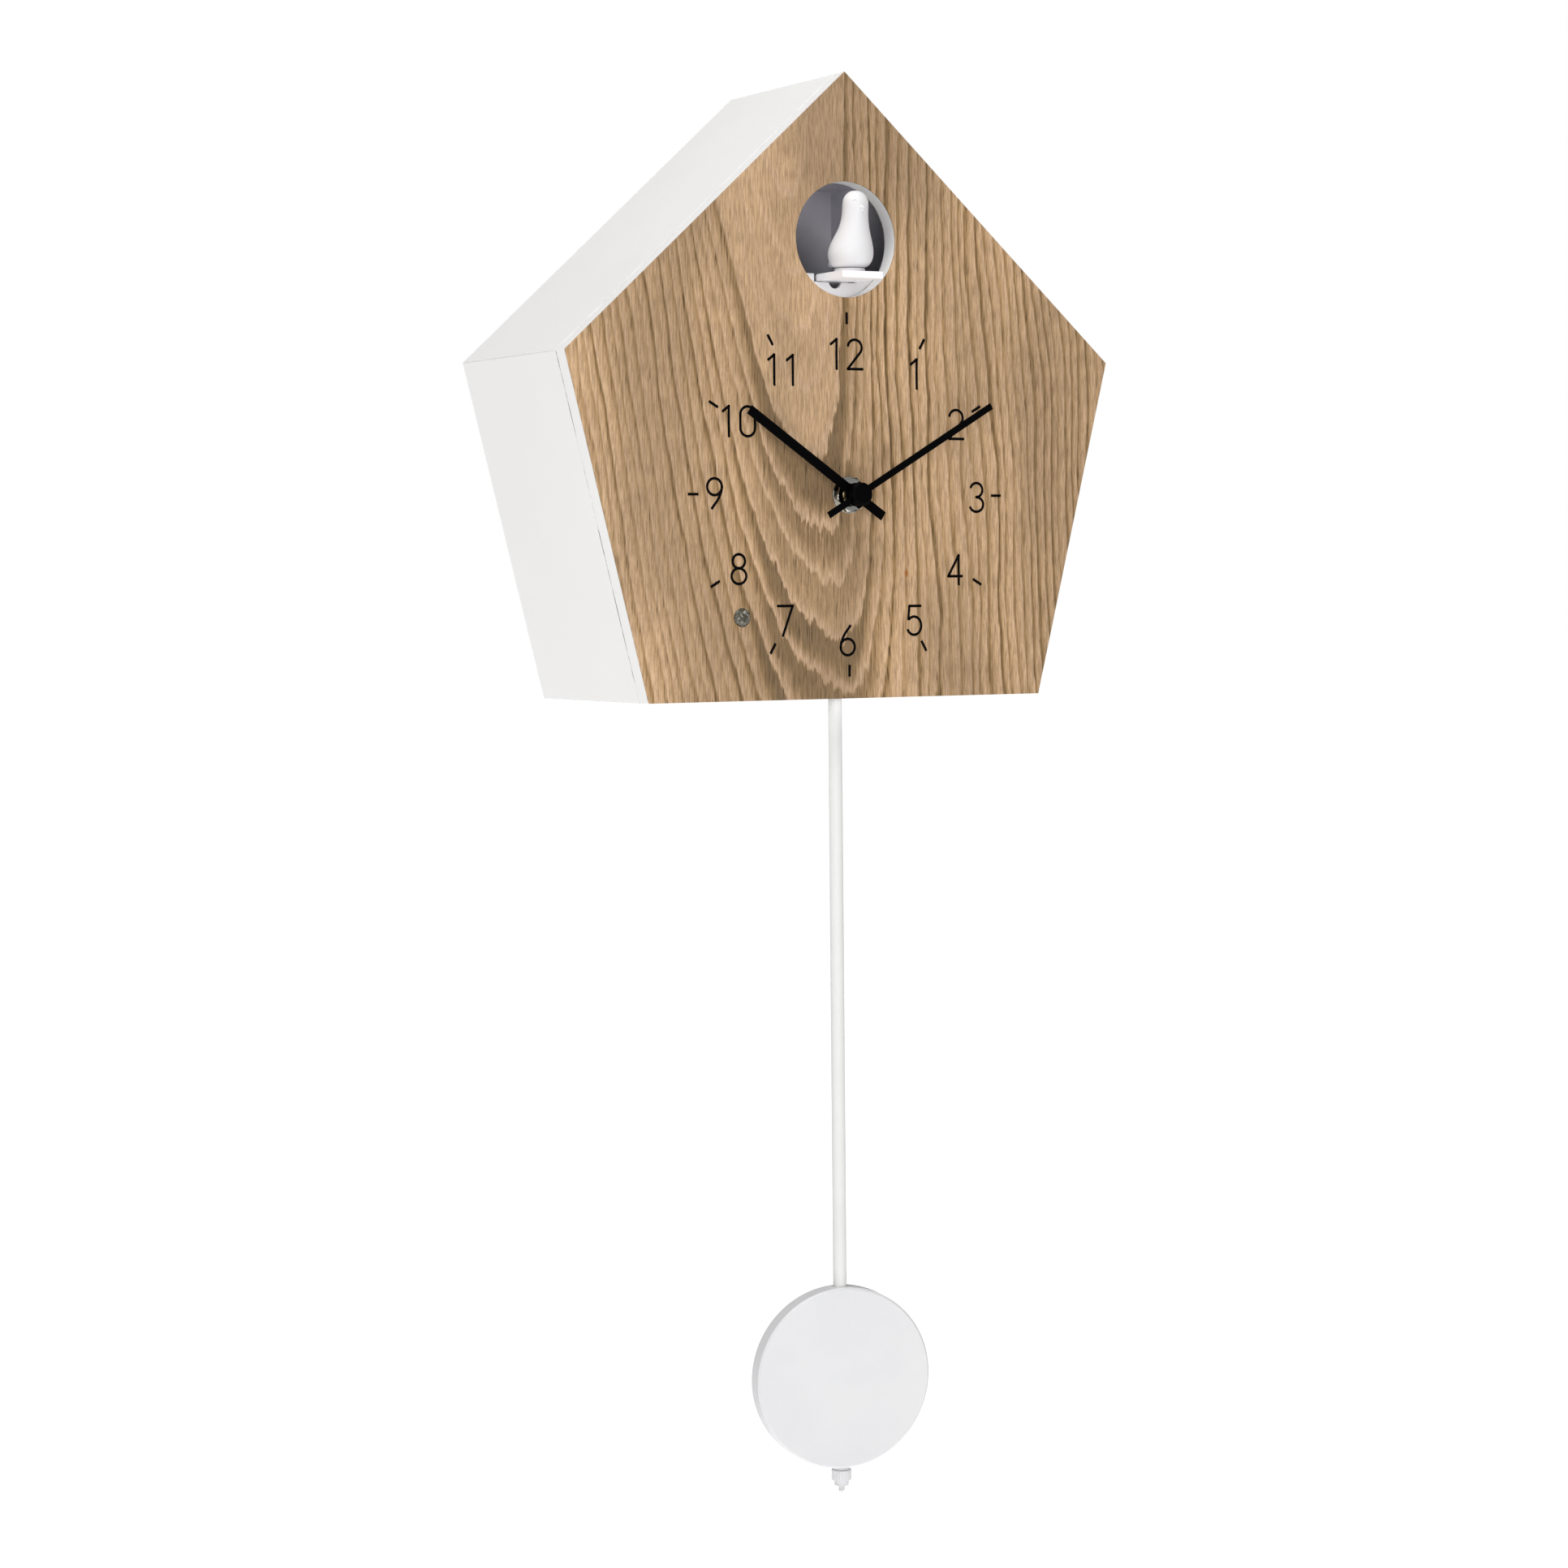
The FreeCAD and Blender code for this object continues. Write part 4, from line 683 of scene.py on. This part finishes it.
def makeBird():
    low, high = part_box("bird")
    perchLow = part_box("bird_platform")[0]
    centreY = perchLow[1] + 9.9 * mm
    base = low[2]
    rows = bird["rows"]
    deselect()
    bpy.ops.mesh.primitive_circle_add(vertices=bird["sides"], radius=rows[0][1] * mm, fill_type="NGON",
                                      location=(0, centreY - rows[0][2] * mm, base))
    body = bpy.context.object
    bpy.ops.object.transform_apply(location=True, rotation=True, scale=True)
    bpy.ops.object.mode_set(mode="EDIT")
    bpy.ops.mesh.select_all(action="SELECT")
    for before, after in zip(rows, rows[1:]):
        step = (0, (before[2] - after[2]) * mm, (after[0] - before[0]) * mm)
        bpy.ops.mesh.extrude_region_move(TRANSFORM_OT_translate={"value": step})
        share = after[1] / before[1]
        bpy.ops.transform.resize(value=(share, share, 1),
                                 center_override=(0, centreY - after[2] * mm, base + after[0] * mm))
    bpy.ops.object.mode_set(mode="OBJECT")
    tidyNormals(body)
    modify(body, "SUBSURF", levels=1, render_levels=1)
    deselect()
    bpy.ops.mesh.primitive_cone_add(vertices=24, radius1=bird["beakRadius"] * mm, radius2=0.35 * mm,
                                    depth=bird["beakLength"] * mm, rotation=turns["Y"],
                                    location=(0, low[1] + (0.5 * bird["beakLength"] + 0.25) * mm,
                                              base + bird["beakHeight"] * mm))
    beak = bpy.context.object
    tail = block((-3.8 * mm, centreY + 2.0 * mm, base + 0.9 * mm), (3.8 * mm, centreY + 11.5 * mm, base + 6.4 * mm))
    selectFaces(tail, lambda c, n: n.y > 0.5)
    bpy.ops.transform.resize(value=(0.8, 1, 0.36), center_override=(0, centreY + 11.5 * mm, base + 1.6 * mm))
    bpy.ops.object.mode_set(mode="OBJECT")
    modify(tail, "BEVEL", width=0.8 * mm, segments=3, limit_method="NONE")
    whole = joinAll([body, beak, tail])
    active(whole)
    bpy.ops.object.transform_apply(location=True, rotation=True, scale=True)
    modify(whole, "REMESH", mode="VOXEL", voxel_size=bird["voxel"])
    modify(whole, "SMOOTH", factor=0.5, iterations=6)
    headY = centreY - 4.6 * mm
    for side in (-1, 1):
        deselect()
        out = (4.95 + bird["eyeRadius"] - bird["eyeDepth"]) * mm
        bpy.ops.mesh.primitive_uv_sphere_add(segments=24, ring_count=12, radius=bird["eyeRadius"] * mm,
                                             location=(side * out * 0.53, headY - out * 0.85,
                                                       base + bird["eyeHeight"] * mm))
        cutAway(whole, bpy.context.object)
    settle(whole, 50)
    dress(whole, "finishedBird", "white_plastic", "bird_group", "bird")
    whole.data.materials[0] = plainFinish("birdWhite", bird["light"], bird["dark"], 0.45, 0.58, 900.0, 0.00002,
                                          patch=60.0)


makeBird()
print("stage 3: bird")


# the dial's numbers, drawn as strokes

dial = {
    "stroke": 1.06, "proud": 0.14, "height": 12.2,
    "places": {"12": (0, 53.7), "1": (30.0, 46.8), "2": (49.1, 27.6), "3": (58.3, -0.7), "4": (48.4, -28.9),
               "5": (29.4, -48.4), "6": (-0.7, -55.8), "7": (-28.1, -47.8), "8": (-48.1, -28.1),
               "9": (-58.2, 0.4), "10": (-47.2, 27.5), "11": (-29.2, 47.2)},
}


def arc(x, z, rx, rz, start, end, steps=18):
    return [(x + rx * math.cos(math.radians(start + (end - start) * k / steps)),
             z + rz * math.sin(math.radians(start + (end - start) * k / steps))) for k in range(steps + 1)]


six = arc(0, -2.45, 3.15, 3.15, 180, -180, 30)
sixStem = [(-3.15, -2.45), (-2.95, -0.9), (-2.3, 0.8), (-1.2, 2.7), (1.15, 5.6)]
strokes = {
    "0": [arc(0, 2.5, 3.15, 3.1, 180, 0) + arc(0, -2.5, 3.15, 3.1, 0, -180) + [(-3.15, 2.5)]],
    "1": [[(-1.7, 3.7), (0.8, 5.6)], [(0.8, 5.6), (0.8, -5.6)]],
    "2": [arc(0, 2.55, 3.1, 3.05, 165, -28) + [(-3.15, -5.6)], [(-3.15, -5.6), (3.25, -5.6)]],
    "3": [arc(0, 2.85, 2.8, 2.75, 155, -90), arc(0, -2.75, 3.15, 2.85, 90, -155)],
    "4": [[(1.5, -5.6), (1.5, 5.6)], [(1.5, 5.6), (-3.3, -2.5)], [(-3.3, -2.5), (2.9, -2.5)]],
    "5": [[(2.8, 5.6), (-2.2, 5.6)], [(-2.2, 5.6), (-2.7, 0.55)], arc(-0.1, -2.05, 3.25, 3.55, 132, -150)],
    "6": [six, sixStem],
    "7": [[(-3.2, 5.6), (3.2, 5.6)], [(3.2, 5.6), (-1.1, -5.6)]],
    "8": [arc(0, 2.95, 2.65, 2.65, 90, -270, 30), arc(0, -2.65, 3.15, 2.95, 90, -270, 30)],
    "9": [[(-x, -z) for x, z in six], [(-x, -z) for x, z in sixStem]],
}


def makeNumbers():
    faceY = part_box("front_veneer")[0][1]
    centre = jointPlace("minute_spin")
    pieces = []
    for text, (x, z) in dial["places"].items():
        if len(text) == 1:
            offsets = [(text, 0.45 if text == "1" else 0.0)]
        elif text == "11":
            offsets = [("1", -3.6), ("1", 4.5)]
        else:
            offsets = [("1", -5.4), (text[1], 3.5)]
        for digit, shift in offsets:
            for path in strokes[digit]:
                points = [(centre.x + (x + shift + px) * mm, faceY, centre.z + (z + pz) * mm) for px, pz in path]
                half = dial["stroke"] / 2 * mm
                pieces.append(wireTube(points, half))
                for end in (points[0], points[-1]):
                    pieces.append(cylinder(half, faceY - half, faceY + half, (end[0], end[2]), "Y", 16))
    numbers = joinAll(pieces)
    bpy.ops.object.mode_set(mode="EDIT")
    bpy.ops.mesh.select_all(action="SELECT")
    bpy.ops.transform.resize(value=(1, dial["proud"] / (dial["stroke"] / 2), 1), center_override=(0, faceY, 0))
    bpy.ops.object.mode_set(mode="OBJECT")
    settle(numbers, 40)
    dress(numbers, "dialNumbers", "ink", "case")


makeNumbers()
print("stage 4: numbers")


# wood screws with a cross recess

screw = {"head": 2.9, "cone": 1.6, "shank": 1.5, "length": 9.0, "recess": 1.7, "slot": 0.42, "deep": 1.1,
         "turns": 6, "pitch": 0.95, "root": 1.05}


def modelScrew():
    obj = cylinder(screw["head"] * mm, -0.25 * mm, 0, (0, 0), "Y", 28)
    bpy.ops.object.transform_apply(location=True, rotation=True, scale=True)
    selectFaces(obj, lambda c, n: n.y < -0.9)
    radius = screw["head"]
    y = -0.25

    def ring(newRadius, depth):
        nonlocal radius, y
        bpy.ops.mesh.extrude_region_move(TRANSFORM_OT_translate={"value": (0, -depth * mm, 0)})
        y -= depth
        share = newRadius / radius
        bpy.ops.transform.resize(value=(share, 1, share), center_override=(0, y * mm, 0))
        radius = newRadius

    ring(screw["root"], screw["cone"] - 0.25)
    for k in range(screw["turns"]):
        ring(screw["root"], 0.3)
        ring(screw["shank"] - 0.02, 0.3)
        ring(screw["root"], 0.3)
    ring(0.1, screw["length"] + y)
    bpy.ops.object.mode_set(mode="OBJECT")
    for low, high in (((-screw["recess"], -screw["slot"]), (screw["recess"], screw["slot"])),
                      ((-screw["slot"], -screw["recess"]), (screw["slot"], screw["recess"]))):
        cutter = block((low[0] * mm, -screw["deep"] * mm, low[1] * mm), (high[0] * mm, 0.2 * mm, high[1] * mm))
        selectFaces(cutter, lambda c, n: n.y < -0.9)
        bpy.ops.transform.resize(value=(0.45, 1, 0.45), center_override=(0, -screw["deep"] * mm, 0))
        bpy.ops.object.mode_set(mode="OBJECT")
        cutAway(obj, cutter)
    return obj


def makeScrews():
    loose = bpy.data.objects.new("looseScrews", nodes["wood_screws"].data.copy())
    bpy.context.collection.objects.link(loose)
    loose.matrix_world = nodes["wood_screws"].matrix_world
    active(loose)
    bpy.ops.object.transform_apply(location=True, rotation=True, scale=True)
    bpy.ops.object.mode_set(mode="EDIT")
    bpy.ops.mesh.select_all(action="SELECT")
    bpy.ops.mesh.remove_doubles(threshold=0.000002)
    bpy.ops.mesh.separate(type="LOOSE")
    bpy.ops.object.mode_set(mode="OBJECT")
    parts = list(bpy.context.selected_objects)
    model = modelScrew()
    copies = []
    for part in parts:
        corners = [vert.co for vert in part.data.vertices]
        x = (min(c.x for c in corners) + max(c.x for c in corners)) / 2
        z = (min(c.z for c in corners) + max(c.z for c in corners)) / 2
        y = max(c.y for c in corners)
        copies.append(copyOf(model, (x, y, z)))
        bpy.data.objects.remove(part)
    bpy.data.objects.remove(model)
    screws = joinAll(copies)
    settle(screws, 30)
    dress(screws, "crossScrews", "steel_zinc", "case", "wood_screws")


makeScrews()


# thread on the pendulum's stud

thread = {"pitch": 0.45, "outer": 1.24, "inner": 1.0, "steps": 24}


def makeThread():
    low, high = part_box("thread_stud")
    x = (low[0] + high[0]) / 2
    y = (low[1] + high[1]) / 2
    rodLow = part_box("pendulum_rod")[0][2]
    core = cylinder(thread["inner"] * mm, low[2], rodLow + 1 * mm, (x, y), "Z", 32)
    modify(core, "BEVEL", width=0.25 * mm, segments=2, limit_method="ANGLE")
    plug = cylinder(1.58 * mm, rodLow + 0.2 * mm, high[2], (x, y), "Z", 32)
    outline = [(thread["inner"] - 0.1, 0), (thread["inner"], 0.06), (thread["outer"], 0.2),
               (thread["outer"], 0.25), (thread["inner"], 0.39), (thread["inner"] - 0.1, 0.45)]
    mesh = bpy.data.meshes.new("threadOutline")
    mesh.from_pydata([(r * mm, 0, h * mm) for r, h in outline], [(k, k + 1) for k in range(len(outline) - 1)], [])
    coil = bpy.data.objects.new("threadCoil", mesh)
    bpy.context.collection.objects.link(coil)
    rounds = int((rodLow - low[2]) / (thread["pitch"] * mm)) - 2
    modify(coil, "SCREW", axis="Z", angle=2 * math.pi, screw_offset=thread["pitch"] * mm, iterations=rounds,
           steps=thread["steps"], render_steps=thread["steps"], use_smooth_shade=False)
    coil.location = (x, y, low[2] + 0.35 * mm)
    tidyNormals(coil)
    stud = joinAll([core, plug, coil])
    settle(stud, 30)
    dress(stud, "threadedStud", "white_paint", "pendulum", "thread_stud")


makeThread()


# battery springs and contact plates

spring = {"wire": 0.32, "turns": 4, "wide": 3.3, "narrow": 1.9, "plate": 5.0}


def makeContacts():
    low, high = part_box("battery_contacts")
    cellLow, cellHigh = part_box("battery_cells")
    y = (low[1] + high[1]) / 2
    pitch = ((high[2] - low[2]) - 2 * spring["plate"] * mm) / 2
    pieces = []
    for k in range(3):
        z = low[2] + spring["plate"] * mm + k * pitch
        for end in (-1, 1):
            outer = high[0] * end
            inner = outer - end * 0.4 * mm
            half = spring["plate"] * mm
            plate = block((min(outer, inner), y - half, z - half), (max(outer, inner), y + half, z + half))
            modify(plate, "BEVEL", width=0.12 * mm, segments=2, limit_method="ANGLE")
            pieces.append(plate)
            positive = (end == 1) == (k % 2 == 0)
            reach = cellHigh[0] - (0 if positive else 1.4 * mm)
            gap = abs(inner) - reach
            steps = 20 * spring["turns"]
            points = []
            for step in range(steps + 1):
                share = step / steps
                a = 2 * math.pi * spring["turns"] * share
                r = (spring["wide"] + (spring["narrow"] - spring["wide"]) * share) * mm
                points.append((inner - end * (0.3 * mm + (gap - 0.6 * mm) * share), y + r * math.cos(a),
                               z + r * math.sin(a)))
            if not positive:
                pieces.append(wireTube(points, spring["wire"] * mm))
            else:
                nub = cylinder(3.0 * mm, inner, inner - end * gap * 0.9, (y, z), "X", 32)
                modify(nub, "BEVEL", width=0.15 * mm, segments=2, limit_method="ANGLE")
                pieces.append(nub)
    contacts = joinAll(pieces)
    settle(contacts, 35)
    dress(contacts, "springContacts", "steel_zinc", "case", "battery_contacts")


makeContacts()


# grip ribs in the cover's finger hollow

def makeGrips():
    low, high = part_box("access_cover")
    ribs = []
    for k in range(5):
        x = (k - 2) * 3.2 * mm
        rib = block((x - 0.5 * mm, -0.8 * mm, high[2] - 7.2 * mm), (x + 0.5 * mm, -0.25 * mm, high[2] - 4.9 * mm))
        modify(rib, "BEVEL", width=0.2 * mm, segments=2, limit_method="ANGLE")
        ribs.append(rib)
    dress(settle(joinAll(ribs)), "coverGrip", "black_plastic", "cover_body")


makeGrips()


# sensor chip behind the clear lens

def makeSensorChip():
    low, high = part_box("light_sensor")
    x = (low[0] + high[0]) / 2
    z = (low[2] + high[2]) / 2
    y = low[1] + 2.6 * mm
    seat = cylinder(3.42 * mm, y, y + 0.6 * mm, (x, z), "Y", 48)
    modify(seat, "BEVEL", width=0.1 * mm, segments=1, limit_method="ANGLE")
    track = []
    for k in range(7):
        rowZ = z + (k - 3) * 0.62 * mm
        half = math.sqrt(max(0.0, 2.6 ** 2 - ((k - 3) * 0.62) ** 2)) * mm
        ends = [(x - half, y - 0.06 * mm, rowZ), (x + half, y - 0.06 * mm, rowZ)]
        track += ends if k % 2 == 0 else ends[::-1]
    wire = wireTube(track, 0.14 * mm, 1)
    settle(seat)
    settle(wire)
    dress(seat, "sensorSeat", "magnet_grey", "case")
    dress(wire, "sensorTrack", "steel_zinc", "case")


makeSensorChip()
print("stage 5: small fittings")


# floor, light and camera

studio = {
    "cameraPlace": (-0.71258, -1.29410, -0.15345),
    "right": (0.869470, -0.493900, -0.009182), "up": (0.034830, 0.042751, 0.998478),
    "back": (-0.492756, -0.868467, 0.054373), "lens": 83.55,
    "worldLight": 0.06, "worldSeen": 1.0, "floorDrop": 0.28, "floorGlow": 0.78, "floorSeen": 0.97,
    # name, place, size, power, what it points at
    "lamps": [("keyLeft", (-0.95, -1.25, 0.12), 0.7, 4.5, (0, -0.09, -0.15)),
              ("topSoft", (-0.5, -0.5, 1.6), 1.2, 33.0, (0, 0, -0.1)),
              ("fillRight", (1.3, -1.6, 0.0), 1.2, 1.2, (0, -0.09, -0.2)),
              ("frontSoft", (-0.25, -1.6, 0.0), 0.5, 4.0, (0, -0.09, -0.15))],
}


def makeStudio():
    low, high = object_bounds()
    deselect()
    bpy.ops.mesh.primitive_plane_add(size=60, location=(0, 0, low[2] - studio["floorDrop"]))
    floor = bpy.context.object
    floor.name = "paleFloor"
    floorMat = plainFinish("paleFloor", seen(253, 253, 253), seen(250, 250, 250), 0.85, 0.95, 20.0, 0.0, patch=0.5,
                           Emission_Color=(1, 1, 1, 1), Emission_Strength=studio["floorGlow"])
    tree = floorMat.node_tree
    level = tree.nodes.new("ShaderNodeMapRange")
    level.inputs["To Min"].default_value = studio["floorGlow"]
    level.inputs["To Max"].default_value = studio["floorSeen"]
    tree.links.new(tree.nodes.new("ShaderNodeLightPath").outputs["Is Camera Ray"], level.inputs["Value"])
    tree.links.new(level.outputs["Result"], shaderOf(floorMat).inputs["Emission Strength"])
    floor.data.materials.append(floorMat)
    world = bpy.data.worlds.new("softRoom")
    bpy.context.scene.world = world
    world.use_nodes = True
    tree = world.node_tree
    background = tree.nodes["Background"]
    background.inputs["Color"].default_value = (1, 1, 1, 1)
    path = tree.nodes.new("ShaderNodeLightPath")
    level = tree.nodes.new("ShaderNodeMapRange")
    level.inputs["To Min"].default_value = studio["worldLight"]
    level.inputs["To Max"].default_value = studio["worldSeen"]
    tree.links.new(path.outputs["Is Camera Ray"], level.inputs["Value"])
    tree.links.new(level.outputs["Result"], background.inputs["Strength"])
    for name, place, size, power, target in studio["lamps"]:
        data = bpy.data.lights.new(name, "AREA")
        data.shape = "DISK"
        data.size = size
        data.energy = power
        lamp = bpy.data.objects.new(name, data)
        bpy.context.collection.objects.link(lamp)
        lamp.location = place
        lamp.rotation_euler = (Vector(target) - Vector(place)).to_track_quat("-Z", "Y").to_euler()
    cameraData = bpy.data.cameras.new("mainCamera")
    cameraData.lens = studio["lens"]
    cameraData.sensor_width = 36.0
    cameraData.clip_end = 100.0
    camera = bpy.data.objects.new("mainCamera", cameraData)
    bpy.context.collection.objects.link(camera)
    rows = [list(row) for row in zip(studio["right"], studio["up"], studio["back"])]
    camera.matrix_world = Matrix.Translation(studio["cameraPlace"]) @ Matrix(rows).to_4x4()
    scene = bpy.context.scene
    scene.camera = camera
    scene.view_settings.view_transform = "Standard"
    scene.view_settings.look = "None"


makeStudio()
print("stage 6: studio")
